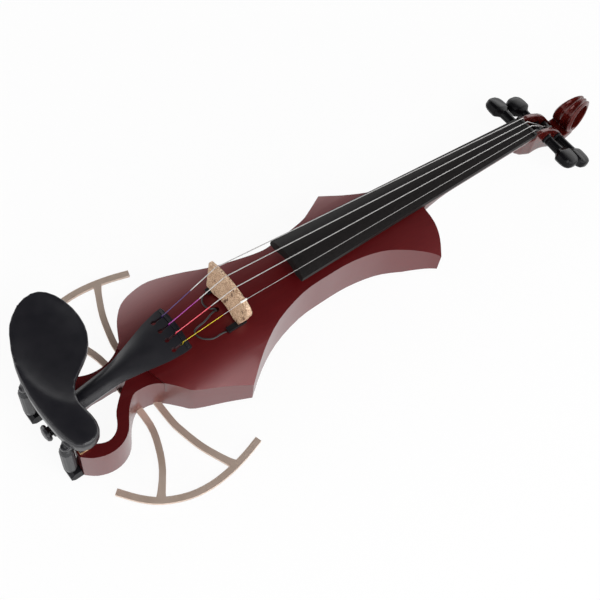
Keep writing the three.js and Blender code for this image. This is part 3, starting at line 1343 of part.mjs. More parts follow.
function makeChinrest() {
  const at = ([along, across]) =>
    new THREE.Vector2(-chinrestTail + along * chinrestDepth, -chinrestTreble + across * chinrestWidth);
  const loop = new THREE.CatmullRomCurve3(chinrestOutlineShares.map(at).map((p) => vector(p.x, p.y, 0)),
    true);
  const rim = loop.getPoints(chinrestOutlineShares.length * 1.5).slice(0, -1)
    .map((p) => new THREE.Vector2(p.x, p.y));
  const plate = new THREE.ExtrudeGeometry(new THREE.Shape(rim), {
    depth: chinrestHigh - chinrestLow - chinrestRound * 2,
    bevelThickness: chinrestRound,
    bevelSize: chinrestRound,
    bevelOffset: -chinrestRound,
    bevelSegments: 2,
  }).translate(0, 0, chinrestLow + chinrestRound);
  const [dishAlong, dishAcross, dishLength, dishWidth] = chinrestDishShares;
  const middle = at([dishAlong, dishAcross]);
  const dish = new THREE.SphereGeometry(1, 24, 16)
    .scale(chinrestDepth * dishLength, chinrestWidth * dishWidth, chinrestDish * 2)
    .translate(middle.x, middle.y, chinrestHigh + chinrestDish);
  const footSeat = armHeight + corkThickness + fitGap * 2;
  const foot = (side) => box(
    vector(chinrestFootX - chinrestFootLength / 2, side * chinrestFootY - chinrestFootWidth / 2, footSeat),
    vector(chinrestFootX + chinrestFootLength / 2, side * chinrestFootY + chinrestFootWidth / 2,
      chinrestLow + chinrestRound),
  );
  const lugLow = chinrestLow - lugDrop;
  const lug = (side) => join(
    rod(lugRadius, lugLow, lugLow + lugHeight).translate(clampX, side * clampY, 0),
    box(
      vector(clampX, side * clampY - lugRadius, lugLow),
      vector(chinrestFootX, side * clampY + lugRadius, chinrestLow + chinrestRound),
    ),
  );
  const studBore = (side) =>
    rod(studRadius + glueGap, 0, chinrestLow + studSeat + fitGap).translate(clampX, side * clampY, 0);
  const sides = Object.entries(clampSides);
  const under = sides.flatMap(([, side]) => [foot(side), lug(side)]);
  const tray = cut(join(plate, ...under), dish, ...sides.map(([, side]) => studBore(side)));
  place("chinrest", tray, blackPlastic());
  sides.forEach(([name, side]) => {
    const pad = box(
      vector(chinrestFootX - chinrestFootLength / 2, side * chinrestFootY - chinrestFootWidth / 2,
        armHeight + fitGap),
      vector(chinrestFootX + chinrestFootLength / 2, side * chinrestFootY + chinrestFootWidth / 2,
        armHeight + fitGap + corkThickness),
    );
    place(`chinrest_cork_${name}`, pad, cork());
    makeClamp(name, side);
  });
}

// One clamp: stud in the chinrest, ribbed barrel with a thread at each end, jaw under the arm
function makeClamp(name, side) {
  const group = new THREE.Group();
  group.position.set(clampX, side * clampY, 0);
  violin.add(group);
  place(`clamp_${name}_stud`, rod(studRadius, barrelHigh - studReach, chinrestLow + studSeat),
    screwSteel(), group);

  const outline = [];
  for (let i = 0; i < barrelRibs * 2; i += 1) {
    const angle = (i * Math.PI) / barrelRibs;
    const radius = i % 2 ? barrelRadius - barrelRibDepth : barrelRadius;
    outline.push(new THREE.Vector2(radius * Math.cos(angle), radius * Math.sin(angle)));
  }
  const shoulder = barrelHigh - barrelDomeHeight / 2;
  const body = prism(outline, barrelLow + barrelDomeHeight, shoulder);
  const core = barrelRadius - barrelRibDepth;
  const ends = turnedUp([
    [0, barrelLow], ...barrelDomeShares.map(([up, wide]) =>
    [core * wide, barrelLow + barrelDomeHeight * up]),
    [core, barrelLow + barrelDomeHeight], [core, shoulder], [core * 0.88, mix(shoulder, barrelHigh, 0.6)],
    [barrelEndRadius, barrelHigh], [0, barrelHigh],
  ]);
  const bore = studRadius + fitGap;
  const barrel = cut(
    join(body, ends), rod(bore, barrelHigh - studReach - clampLead * clampTurns, barrelHigh + cutOverrun),
    rod(bore, barrelLow - cutOverrun, barrelLow + studReach + clampLead),
  );
  place(`clamp_${name}_barrel`, barrel, greyPlastic(), group);

  const tail = -tailReach - jawOverhang - clampX;
  const front = tail + jawReach;
  const padTop = -fitGap;
  const jawPlateTop = padTop - corkThickness - fitGap;
  const low = jawPlateTop - jawFloor;
  const riserFront = -tailReach - clampX - fitGap;
  const profile = [
    [tail + jawWedge, low], [front - jawWedge, low], [front, jawPlateTop - fitGap], [front, jawPlateTop],
    [riserFront, jawPlateTop],
    [riserFront, jawTop], [tail + jawWedge, jawTop], [tail, jawTop - jawWedge], [tail, low + jawWedge],
  ].map(([x, z]) => new THREE.Vector2(x, z));
  const jaw = join(
    sidePrism(profile, -jawWidth / 2, jawWidth / 2),
      rod(studRadius, jawTop - jawWedge, barrelLow + studReach - fitGap),
  );
  place(`clamp_${name}_jaw`, jaw, blackPlastic(), group);
  const pad = box(
    vector(riserFront + fitGap * 2, -jawWidth / 2 + fitGap, jawPlateTop + fitGap),
      vector(front - fitGap, jawWidth / 2 - fitGap, padTop),
  );
  place(`clamp_${name}_pad`, pad, cork(), group);
}

makeBody();
makeWings();
makeElectronics();
makeControls();
makeFingerboard();
makeHead();
Object.entries(pegs).forEach(([name, peg]) => makePeg(name, peg));
makeBridge();
makeLeads();
makeTailpiece();
makeStrings();
makeTailFittings();
makeChinrest();

export default violin;
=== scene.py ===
"""Looks of the electric violin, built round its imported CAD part. Metres, +X to the scroll, +Z up."""
import json
import math
import bpy
from mathutils import Matrix, Vector

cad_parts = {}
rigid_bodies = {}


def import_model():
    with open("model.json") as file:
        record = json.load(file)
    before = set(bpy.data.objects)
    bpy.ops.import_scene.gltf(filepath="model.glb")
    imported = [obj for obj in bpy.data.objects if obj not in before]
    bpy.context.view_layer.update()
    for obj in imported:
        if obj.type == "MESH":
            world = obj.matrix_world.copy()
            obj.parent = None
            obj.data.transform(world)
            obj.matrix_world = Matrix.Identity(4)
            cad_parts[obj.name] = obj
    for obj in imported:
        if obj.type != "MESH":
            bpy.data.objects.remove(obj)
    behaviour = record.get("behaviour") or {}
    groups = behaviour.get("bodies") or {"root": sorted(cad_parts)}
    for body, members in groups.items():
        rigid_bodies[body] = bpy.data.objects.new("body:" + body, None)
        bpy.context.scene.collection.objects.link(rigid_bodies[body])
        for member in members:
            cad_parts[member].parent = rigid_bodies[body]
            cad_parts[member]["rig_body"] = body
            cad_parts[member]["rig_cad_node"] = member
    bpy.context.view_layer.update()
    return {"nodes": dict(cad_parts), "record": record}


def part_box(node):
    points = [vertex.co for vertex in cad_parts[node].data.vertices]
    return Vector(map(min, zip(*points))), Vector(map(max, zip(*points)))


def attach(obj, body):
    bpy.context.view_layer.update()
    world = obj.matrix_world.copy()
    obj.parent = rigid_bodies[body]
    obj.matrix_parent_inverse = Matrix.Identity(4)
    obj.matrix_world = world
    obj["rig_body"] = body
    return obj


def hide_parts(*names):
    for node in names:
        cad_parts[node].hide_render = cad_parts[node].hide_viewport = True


MM = 0.001

# The camera of the photograph, found by fitting the violin's known sizes to it.
CAMERA_PLACE = Vector((-0.2571, -0.3168, 0.8075))
CAMERA_RIGHT = Vector((0.78892, -0.6085, 0.08564))
CAMERA_DOWN = Vector((-0.50433, -0.7208, -0.4755))
CAMERA_FORWARD = Vector((0.35107, 0.33194, -0.87554))
CAMERA_FOCAL_PX = 1113.77
CAMERA_NEAREST = 0.01
PICTURE_PX = 600
SENSOR_WIDTH = 36.0

# How edges are rounded and faces are shaded.
EDGE_ROUND = 0.35 * MM
FINE_EDGE_ROUND = 0.18 * MM
EDGE_SEGMENTS = 2
MERGE_REACH = 0.002 * MM
FLAT_ANGLE = math.radians(0.6)
EDGE_ANGLE = math.radians(34)
NEW_PIECE_EDGE_ANGLE = math.radians(40)
SMOOTH_ANGLE = math.radians(32)
PEG_HEAD_SMOOTH_ANGLE = math.radians(42)
ROUND_SMOOTH_ANGLE = math.radians(60)
NORMAL_WEIGHT = 50

# Carving: the size of the grid that a piece is remeshed on, and how often it is sanded.
SAND_FACTOR = 0.5
NECK_GRID = 0.6 * MM
NECK_SANDINGS = 6
BARREL_GRID = 0.45 * MM
BARREL_SANDINGS = 8
CHINREST_GRID = 0.8 * MM
CHINREST_SANDINGS = 4
CHINREST_DISH_SANDINGS = 100
CHINREST_LAST_SANDINGS = 2
CHINREST_DISH_UPRIGHT = 0.9

# Strings: each one's silk colour, and how far its silk reaches towards the bridge.
STRINGS = ("g", "d", "a", "e")
SILKS = {"g": (0.045, 0.01, 0.12), "d": (0.36, 0.02, 0.30), "a": (0.85, 0.09, 0.13), "e": (1.0, 0.76, 0.02)}
SILK_ENDS = {"g": -0.025, "d": -0.024, "a": -0.021, "e": -0.0175}
SILK_START = -0.056
SILK_SHADE = 0.55
# Where the silk begins and ends sharply, as shares of its own stretch.
SILK_IN_SHARE = 0.01
SILK_OUT_SHARE = 0.98
STEEL_METALLIC = 0.75

# The bridge in millimetres. Each table has rows of a share of its height and a place.
BRIDGE_CUTS = 19
BRIDGE_TREBLE_SIDE = ((0, -19.6), (0.2, -21), (0.45, -24), (0.68, -25.6), (0.85, -25), (1, -21.6))
BRIDGE_BASS_SIDE = ((0, 22.6), (0.5, 24), (1, 25.2))
BRIDGE_TAIL_FACE = ((0, -5.4), (0.25, -4.4), (0.7, -2.6), (1, -1.7))
BRIDGE_HEAD_FACE = ((0, 4.6), (0.25, 3.8), (0.7, 2.4), (1, 1.7))
BRIDGE_FOOT = 49.6
BRIDGE_ARCH = 5.2
BRIDGE_ARCH_REACH = 14
BRIDGE_TOP = 80.2
BRIDGE_CROWN = 2.8
BRIDGE_CROWN_REACH = 17.5
BRIDGE_EDGE_ROUND = 0.5 * MM
BRIDGE_EDGE_SEGMENTS = 3

# The white sleeve on the thinnest string.
SLEEVE_RADIUS = 0.75 * MM
SLEEVE_LENGTH = 5.5 * MM
SLEEVE_EDGE_ROUND = 0.15 * MM
SLEEVE_SIDES = 24
SLEEVE_MIDDLE = (-0.0002, -0.0175, 0.0802)
QUARTER_TURN = math.radians(90)

SIDES = ("bass", "treble")
WING_ENDS = ("tail", "neck")
COVER_SCREWS = 4

# Brightness of the studio by height, from the floor's edge (0) to straight overhead (1).
SKY = ((0.12, 1.0), (0.42, 0.5), (0.57, 0.14), (0.7, 0.03), (0.9, 0.01))
SKY_STRENGTH = 3.0
FLOOR_SIZE = 12
FLOOR_ROOM = 0.2 * MM
FLOOR_GREY = 0.86
FLOOR_GLOW_SHARE = 0.93
# The scroll's heel, which rests on the floor, lies this far back from the scroll's end.
SCROLL_HEEL_BACK = 37 * MM
# Each lamp's place, the point that it faces, its two sides, and its power in watts.
LAMPS = {
    "treble_softbox": ((0.0, -0.95, 1.3), (0.05, 0, 0), (0.85, 0.85), 12),
    "tail_softbox": ((-0.95, 0.25, 1.4), (-0.15, 0, 0), (0.6, 0.6), 2),
    "low_fill": ((0.15, -1.35, 0.4), (0.1, 0, 0.02), (1.3, 0.5), 5),
}


# The camera.

def photo_camera():
    data = bpy.data.cameras.new("photo_camera")
    data.sensor_width = SENSOR_WIDTH
    data.lens = SENSOR_WIDTH * CAMERA_FOCAL_PX / PICTURE_PX
    data.clip_start = CAMERA_NEAREST
    camera = bpy.data.objects.new("photo_camera", data)
    bpy.context.scene.collection.objects.link(camera)
    turn = Matrix((CAMERA_RIGHT, -CAMERA_DOWN, -CAMERA_FORWARD)).transposed()
    camera.matrix_world = Matrix.Translation(CAMERA_PLACE) @ turn.to_4x4()
    bpy.context.scene.camera = camera


# Building a material.

def set_stops(ramp, stops):
    """Give a color ramp its rows of place and colour; a single number stands for a grey."""
    while len(ramp.elements) < len(stops):
        ramp.elements.new(0.5)
    for element, (place, tone) in zip(ramp.elements, stops):
        element.position = place
        element.color = (*tone, 1) if isinstance(tone, tuple) else (tone, tone, tone, 1)


class Finish:
    """A material with one Principled shader, and short ways to feed it patterns.

    Keywords with capitals name the shader's own inputs.
    """

    def __init__(self, name, roughness, **inputs):
        self.material = bpy.data.materials.new(name)
        self.material.use_nodes = True
        self.nodes = self.material.node_tree.nodes
        self.links = self.material.node_tree.links
        self.shader = self.nodes["Principled BSDF"]
        self.shader.inputs["Roughness"].default_value = roughness
        for socket, value in inputs.items():
            self.shader.inputs[socket.replace("_", " ")].default_value = value
        self.place = self.nodes.new("ShaderNodeTexCoord").outputs["Object"]

    def mapped(self, scale=(1, 1, 1), turn=(0, 0, 0)):
        node = self.nodes.new("ShaderNodeMapping")
        node.inputs["Scale"].default_value = scale
        node.inputs["Rotation"].default_value = turn
        self.links.new(self.place, node.inputs["Vector"])
        return node.outputs["Vector"]

    def noise(self, vector, scale, detail, rough, distortion=0.0):
        node = self.nodes.new("ShaderNodeTexNoise")
        node.inputs["Scale"].default_value = scale
        node.inputs["Detail"].default_value = detail
        node.inputs["Roughness"].default_value = rough
        node.inputs["Distortion"].default_value = distortion
        self.links.new(vector, node.inputs["Vector"])
        return node.outputs["Fac"]

    def ramp(self, value, *stops):
        node = self.nodes.new("ShaderNodeValToRGB")
        set_stops(node.color_ramp, stops)
        self.links.new(value, node.inputs["Fac"])
        return node.outputs["Color"]

    def blend(self, first, second, factor, how="MIX"):
        node = self.nodes.new("ShaderNodeMix")
        node.data_type = "RGBA"
        node.blend_type = how
        for socket, value in (("Factor", factor), ("A", first), ("B", second)):
            target = [s for s in node.inputs if s.name == socket and s.enabled][0]
            if isinstance(value, bpy.types.NodeSocket):
                self.links.new(value, target)
            else:
                target.default_value = value
        return [s for s in node.outputs if s.enabled][0]

    def along_strings(self, low, high):
        """How far a point lies from one place to another along +X, as 0 to 1."""
        parts = self.nodes.new("ShaderNodeSeparateXYZ")
        self.links.new(self.place, parts.inputs["Vector"])
        node = self.nodes.new("ShaderNodeMapRange")
        node.inputs["From Min"].default_value = low
        node.inputs["From Max"].default_value = high
        self.links.new(parts.outputs["X"], node.inputs["Value"])
        return node.outputs["Result"]

    def color(self, value):
        self.links.new(value, self.shader.inputs["Base Color"])

    def tones(self, pattern, dark, light):
        """Colour the piece between two near tones of one pattern."""
        self.color(self.ramp(pattern, (0.3, dark), (0.7, light)))

    def rough(self, value, low, high):
        node = self.nodes.new("ShaderNodeMapRange")
        node.inputs["To Min"].default_value = low
        node.inputs["To Max"].default_value = high
        self.links.new(value, node.inputs["Value"])
        self.links.new(node.outputs["Result"], self.shader.inputs["Roughness"])

    def bump(self, height, depth, strength):
        node = self.nodes.new("ShaderNodeBump")
        node.inputs["Strength"].default_value = strength
        node.inputs["Distance"].default_value = depth
        self.links.new(height, node.inputs["Height"])
        self.links.new(node.outputs["Normal"], self.shader.inputs["Normal"])


# The finishes, one function each.

def red_varnish():
    """Deep red stain under a satin clear coat, with the grain only just showing."""
    finish = Finish("red_varnish", roughness=0.42, Specular_IOR_Level=0.6, Specular_Tint=(1, 0.2, 0.22, 1),
                    Coat_Weight=0.75, Coat_Roughness=0.24, Coat_IOR=1.45)
    grain = finish.noise(finish.mapped(scale=(9, 150, 150)), scale=7, detail=6, rough=0.62, distortion=0.6)
    cloud = finish.noise(finish.mapped(scale=(1, 1.6, 1.6)), scale=16, detail=3, rough=0.5)
    pores = finish.noise(finish.mapped(scale=(40, 700, 700)), scale=4, detail=3, rough=0.6)
    grained = finish.ramp(grain, (0.25, (0.054, 0.0015, 0.0022)), (0.78, (0.082, 0.0030, 0.0038)))
    clouded = finish.ramp(cloud, (0.3, (0.86, 0.8, 0.8)), (0.75, (1.0, 1.0, 1.0)))
    finish.color(finish.blend(grained, clouded, factor=0.85, how="MULTIPLY"))
    finish.rough(cloud, low=0.36, high=0.48)
    finish.bump(pores, depth=0.03 * MM, strength=0.3)
    return finish.material


def scroll_varnish():
    """The same stain, thinner and glossier, as it lies on the carved head."""
    finish = Finish("scroll_varnish", roughness=0.34, Specular_IOR_Level=0.2, Specular_Tint=(1, 0.3, 0.25, 1),
                    Coat_Weight=0.3, Coat_Roughness=0.09, Coat_IOR=1.45)
    along_neck = finish.mapped(scale=(25, 160, 110), turn=(0.1, 0.5, 0.2))
    grain = finish.noise(along_neck, scale=6, detail=5, rough=0.6, distortion=1.2)
    cloud = finish.noise(finish.mapped(), scale=60, detail=4, rough=0.55)
    grained = finish.ramp(grain, (0.3, (0.030, 0.0021, 0.0016)), (0.7, (0.078, 0.0056, 0.0038)))
    clouded = finish.ramp(cloud, (0.3, 0.6), (0.7, 1.0))
    finish.color(finish.blend(grained, clouded, factor=0.5, how="MULTIPLY"))
    finish.rough(cloud, low=0.16, high=0.28)
    finish.bump(grain, depth=0.04 * MM, strength=0.3)
    return finish.material


def black_ebony():
    """Bare ebony: nearly black, with fine streaks and pores along the board."""
    finish = Finish("black_ebony", roughness=0.45, Specular_IOR_Level=0.075)
    streaks = finish.noise(finish.mapped(scale=(12, 420, 420)), scale=6, detail=5, rough=0.6)
    pores = finish.noise(finish.mapped(scale=(60, 900, 900)), scale=5, detail=2, rough=0.5)
    finish.color(finish.ramp(streaks, (0.35, (0.006, 0.0055, 0.0055)), (0.75, (0.016, 0.0135, 0.0135))))
    finish.rough(streaks, low=0.38, high=0.52)
    finish.bump(pores, depth=0.04 * MM, strength=0.4)
    return finish.material


def satin_black():
    """The chinrest and the tailpiece: black with a soft sheen."""
    finish = Finish("satin_black", roughness=0.34, Specular_IOR_Level=0.4,
                    Coat_Weight=0.25, Coat_Roughness=0.1)
    haze = finish.noise(finish.mapped(), scale=90, detail=4, rough=0.6)
    skin = finish.noise(finish.mapped(), scale=2600, detail=2, rough=0.5)
    finish.tones(haze, dark=(0.006, 0.0058, 0.0085), light=(0.010, 0.0095, 0.0125))
    finish.rough(haze, low=0.3, high=0.38)
    finish.bump(skin, depth=0.015 * MM, strength=0.25)
    return finish.material


def moulded_black():
    """Matte black plastic of the housings, jaws, wheels and covers."""
    finish = Finish("moulded_black", roughness=0.45, Specular_IOR_Level=0.1)
    skin = finish.noise(finish.mapped(), scale=1800, detail=3, rough=0.6)
    haze = finish.noise(finish.mapped(), scale=140, detail=3, rough=0.5)
    finish.tones(haze, dark=(0.006, 0.006, 0.007), light=(0.010, 0.010, 0.012))
    finish.rough(haze, low=0.38, high=0.5)
    finish.bump(skin, depth=0.03 * MM, strength=0.4)
    return finish.material


def polished_black():
    """The peg heads, which fingers keep polished."""
    finish = Finish("polished_black", roughness=0.2, Specular_IOR_Level=0.11)
    skin = finish.noise(finish.mapped(), scale=900, detail=3, rough=0.6)
    haze = finish.noise(finish.mapped(), scale=140, detail=3, rough=0.5)
    finish.tones(haze, dark=(0.0035, 0.0034, 0.004), light=(0.006, 0.0058, 0.007))
    finish.rough(haze, low=0.16, high=0.26)
    finish.bump(skin, depth=0.03 * MM, strength=0.3)
    return finish.material


def grey_moulding():
    """Dark grey plastic of the barrels, spools and controls."""
    finish = Finish("grey_moulding", roughness=0.4, Specular_IOR_Level=0.35)
    haze = finish.noise(finish.mapped(), scale=160, detail=3, rough=0.5)
    skin = finish.noise(finish.mapped(), scale=2200, detail=2, rough=0.5)
    finish.tones(haze, dark=(0.012, 0.0125, 0.014), light=(0.022, 0.0225, 0.025))
    finish.rough(haze, low=0.3, high=0.42)
    finish.bump(skin, depth=0.02 * MM, strength=0.3)
    return finish.material


def satin_steel():
    """The wings: brushed steel with a warm tone."""
    finish = Finish("satin_steel", roughness=0.4, Metallic=0.6)
    across_wing = finish.mapped(scale=(240, 40, 240), turn=(0, 0, 0.5))
    brushed = finish.noise(across_wing, scale=9, detail=4, rough=0.6)
    cloud = finish.noise(finish.mapped(), scale=45, detail=3, rough=0.5)
    finish.tones(cloud, dark=(0.62, 0.48, 0.39), light=(0.72, 0.58, 0.49))
    finish.rough(brushed, low=0.32, high=0.46)
    finish.bump(brushed, depth=0.012 * MM, strength=0.25)
    return finish.material


def bright_steel():
    """Turned screws and studs."""
    finish = Finish("bright_steel", roughness=0.25, Metallic=1.0)
    turned = finish.noise(finish.mapped(scale=(60, 60, 900)), scale=9, detail=3, rough=0.5)
    finish.tones(turned, dark=(0.50, 0.50, 0.49), light=(0.66, 0.66, 0.65))
    finish.rough(turned, low=0.2, high=0.34)
    return finish.material


def speckled_maple():
    """Bare bridge wood: pale rays with fine dark flecks and a few knots."""
    finish = Finish("speckled_maple", roughness=0.55)
    fleck = finish.noise(finish.mapped(scale=(1, 0.6, 1.5)), scale=1100, detail=3, rough=0.65)
    knot = finish.noise(finish.mapped(scale=(1, 1, 0.6)), scale=210, detail=2, rough=0.5)
    rays = finish.noise(finish.mapped(scale=(1, 1, 2.4)), scale=320, detail=4, rough=0.6)
    wood = finish.ramp(rays, (0.3, (0.50, 0.33, 0.21)), (0.72, (0.67, 0.50, 0.35)))
    flecks = finish.ramp(fleck, (0.42, (0.30, 0.18, 0.11)), (0.52, (1.0, 1.0, 1.0)))
    knots = finish.ramp(knot, (0.60, (1.0, 1.0, 1.0)), (0.67, (0.16, 0.08, 0.05)))
    flecked = finish.blend(wood, flecks, factor=0.85, how="MULTIPLY")
    finish.color(finish.blend(flecked, knots, factor=0.9, how="MULTIPLY"))
    finish.rough(rays, low=0.48, high=0.64)
    finish.bump(fleck, depth=0.05 * MM, strength=0.4)
    return finish.material


def string_winding(name):
    """Wound steel, with silk thread of the string's own colour behind the bridge."""
    finish = Finish(f"string_winding_{name}", roughness=0.3)
    thread = finish.noise(finish.mapped(scale=(9000, 300, 300)), scale=1, detail=1, rough=0.4)
    steel = finish.ramp(thread, (0.35, (0.32, 0.315, 0.31)), (0.65, (0.52, 0.51, 0.50)))
    dark_silk = tuple(tone * SILK_SHADE for tone in SILKS[name])
    dyed = finish.ramp(thread, (0.3, dark_silk), (0.7, SILKS[name]))
    stretch = finish.along_strings(SILK_START, SILK_ENDS[name])
    wrapped = finish.ramp(stretch, (0.0, 0.0), (SILK_IN_SHARE, 1.0), (SILK_OUT_SHARE, 1.0), (1.0, 0.0))
    finish.color(finish.blend(steel, dyed, factor=wrapped))
    metal = finish.ramp(stretch, (0.0, STEEL_METALLIC), (SILK_IN_SHARE, 0.0), (SILK_OUT_SHARE, 0.0),
                        (1.0, STEEL_METALLIC))
    finish.links.new(metal, finish.shader.inputs["Metallic"])
    finish.bump(thread, depth=0.05 * MM, strength=0.5)
    return finish.material


def white_plastic():
    """The sleeve of the thinnest string."""
    finish = Finish("white_plastic", roughness=0.4)
    haze = finish.noise(finish.mapped(), scale=500, detail=2, rough=0.5)
    finish.tones(haze, dark=(0.72, 0.71, 0.68), light=(0.82, 0.81, 0.78))
    finish.rough(haze, low=0.36, high=0.48)
    return finish.material


def black_lead():
    """The rubber skin of the pickup leads and the tail cord."""
    finish = Finish("black_lead", roughness=0.4)
    skin = finish.noise(finish.mapped(), scale=1500, detail=2, rough=0.5)
    finish.tones(skin, dark=(0.012, 0.012, 0.013), light=(0.022, 0.022, 0.023))
    finish.bump(skin, depth=0.02 * MM, strength=0.3)
    return finish.material


def pressed_cork():
    """The pads between the chinrest, the jaws and the arms."""
    finish = Finish("pressed_cork", roughness=0.85)
    grains = finish.noise(finish.mapped(), scale=700, detail=4, rough=0.7)
    finish.color(finish.ramp(grains, (0.35, (0.22, 0.11, 0.05)), (0.6, (0.52, 0.34, 0.18))))
    finish.bump(grains, depth=0.2 * MM, strength=0.5)
    return finish.material


def battery_case():
    """Dark painted metal, with nothing printed on it."""
    finish = Finish("battery_case", roughness=0.35)
    haze = finish.noise(finish.mapped(), scale=200, detail=3, rough=0.5)
    finish.tones(haze, dark=(0.03, 0.033, 0.04), light=(0.05, 0.053, 0.06))
    finish.rough(haze, low=0.28, high=0.4)
    return finish.material


def circuit_green():
    """The lacquer of the preamplifier board, over woven glass."""
    finish = Finish("circuit_green", roughness=0.4)
    weave = finish.noise(finish.mapped(), scale=900, detail=3, rough=0.6)
    finish.tones(weave, dark=(0.010, 0.055, 0.024), light=(0.020, 0.085, 0.038))
    finish.rough(weave, low=0.3, high=0.45)
    return finish.material


# Ways to make a finished piece from a CAD node.

def select_only(piece):
    bpy.ops.object.select_all(action="DESELECT")
    piece.select_set(True)
    bpy.context.view_layer.objects.active = piece


def copied(node):
    """A copy of a CAD node with its loose triangles merged; the node itself stays as it is."""
    source = frame["nodes"][node]
    piece = source.copy()
    piece.data = source.data.copy()
    piece.name = f"{node}_dressed"
    piece.parent = None
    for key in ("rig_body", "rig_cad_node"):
        if key in piece:
            del piece[key]
    bpy.context.scene.collection.objects.link(piece)
    select_only(piece)
    bpy.ops.object.mode_set(mode="EDIT")
    bpy.ops.mesh.select_all(action="SELECT")
    bpy.ops.mesh.remove_doubles(threshold=MERGE_REACH)
    bpy.ops.object.mode_set(mode="OBJECT")
    return piece


def modified(piece, kind, **settings):
    select_only(piece)
    modifier = piece.modifiers.new(kind.lower(), kind)
    for key, value in settings.items():
        setattr(modifier, key, value)
    bpy.ops.object.modifier_apply(modifier=modifier.name)
    return piece


def beveled(piece, width, segments=EDGE_SEGMENTS, angle=EDGE_ANGLE):
    return modified(piece, "BEVEL", width=width, segments=segments, limit_method="ANGLE", angle_limit=angle)


def softened(piece, width):
    """Join the flat facets of a CAD solid and round its sharp edges slightly."""
    modified(piece, "DECIMATE", decimate_type="DISSOLVE", angle_limit=FLAT_ANGLE)
    return beveled(piece, width)


def evened(piece):
    """Let the large faces lead the shading, so that rounded edges don't shade them."""
    return modified(piece, "WEIGHTED_NORMAL", mode="FACE_AREA", weight=NORMAL_WEIGHT, keep_sharp=True)


def remeshed(piece, grid):
    return modified(piece, "REMESH", mode="VOXEL", voxel_size=grid)


def sanded(piece, passes):
    return modified(piece, "SMOOTH", factor=SAND_FACTOR, iterations=passes)


def sanded_where(piece, chosen, passes):
    """Smooth only the chosen points, many times over, as sandpaper does on one face."""
    group = piece.vertex_groups.new(name="sanded")
    group.add([point.index for point in piece.data.vertices if chosen(point)], 1.0, "REPLACE")
    return modified(piece, "SMOOTH", factor=SAND_FACTOR, iterations=passes, vertex_group=group.name)


def body_of(node):
    return [body for body, members in frame["record"]["behaviour"]["bodies"].items() if node in members][0]


def dressed(piece, node, material, angle=SMOOTH_ANGLE, also=()):
    """Finish a piece that takes the place of a CAD node, and of others where it covers them too."""
    piece.data.materials.clear()
    piece.data.materials.append(material)
    select_only(piece)
    bpy.ops.object.shade_smooth_by_angle(angle=angle)
    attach(piece, body_of(node))
    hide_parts(node, *also)
    return piece


def edged(node, material, width=EDGE_ROUND, angle=SMOOTH_ANGLE):
    """A machined or moulded piece: the CAD solid with its sharp edges slightly rounded."""
    piece = softened(copied(node), width)
    dressed(piece, node, material, angle)
    return evened(piece)


def carved(node, material, grid, passes):
    """A carved piece: the CAD solid remeshed finely, then sanded smooth."""
    piece = sanded(remeshed(copied(node), grid), passes)
    return dressed(piece, node, material, ROUND_SMOOTH_ANGLE)


def plain(node, material, angle=SMOOTH_ANGLE):
    """A piece whose CAD solid has its finished shape already."""
    return dressed(copied(node), node, material, angle)


# Ways to model a new piece.

def pushed(piece, points, scale, move):
    """Scale the given points about the piece's own zero, then move them."""
    select_only(piece)
    bpy.ops.object.mode_set(mode="EDIT")
    bpy.ops.mesh.select_mode(type="VERT")
    bpy.ops.mesh.select_all(action="DESELECT")
    bpy.ops.object.mode_set(mode="OBJECT")
    for index in points:
        piece.data.vertices[index].select = True
    bpy.ops.object.mode_set(mode="EDIT")
    bpy.ops.transform.resize(value=scale, center_override=(0, 0, 0))
    bpy.ops.transform.translate(value=move)
    bpy.ops.object.mode_set(mode="OBJECT")


def read_table(table, share):
    """Read a table of (share, place) rows at a share between them."""
    for (low, first), (high, last) in zip(table, table[1:]):
        if share <= high:
            return first + (last - first) * max(0, share - low) / (high - low)
    return table[-1][1]


def new_block(name, cuts):
    """A cube of one metre with its faces cut into a grid, to be shaped point by point."""
    bpy.ops.object.select_all(action="DESELECT")
    bpy.ops.mesh.primitive_cube_add(size=1, location=(0, 0, 0))
    block = bpy.context.object
    block.name = name
    bpy.ops.object.mode_set(mode="EDIT")
    bpy.ops.mesh.select_all(action="SELECT")
    bpy.ops.mesh.subdivide(number_cuts=cuts)
    bpy.ops.object.mode_set(mode="OBJECT")
    return block


def new_rod(name, radius, length, sides):
    bpy.ops.object.select_all(action="DESELECT")
    bpy.ops.mesh.primitive_cylinder_add(vertices=sides, radius=radius, depth=length, location=(0, 0, 0))
    rod = bpy.context.object
    rod.name = name
    return rod


# The violin, dressed in groups.

def dress_body():
    """The plate is glued to the core and sanded flush, so one varnish skin covers both."""
    body = copied("body_core")
    plate = copied("top_plate")
    modified(body, "BOOLEAN", operation="UNION", object=plate, solver="EXACT")
    bpy.data.objects.remove(plate)
    softened(body, EDGE_ROUND)
    dressed(body, "body_core", red_varnish(), also=("top_plate",))
    evened(body)
    carved("neck_and_scroll", scroll_varnish(), NECK_GRID, NECK_SANDINGS)


def dress_chinrest(material):
    """The chinrest's dish has no ridge: its upper face is sanded until it rolls into the rim."""
    chinrest = remeshed(copied("chinrest"), CHINREST_GRID)
    sanded(chinrest, CHINREST_SANDINGS)
    sanded_where(chinrest, lambda point: point.normal.z > CHINREST_DISH_UPRIGHT, CHINREST_DISH_SANDINGS)
    sanded(chinrest, CHINREST_LAST_SANDINGS)
    dressed(chinrest, "chinrest", material, ROUND_SMOOTH_ANGLE)


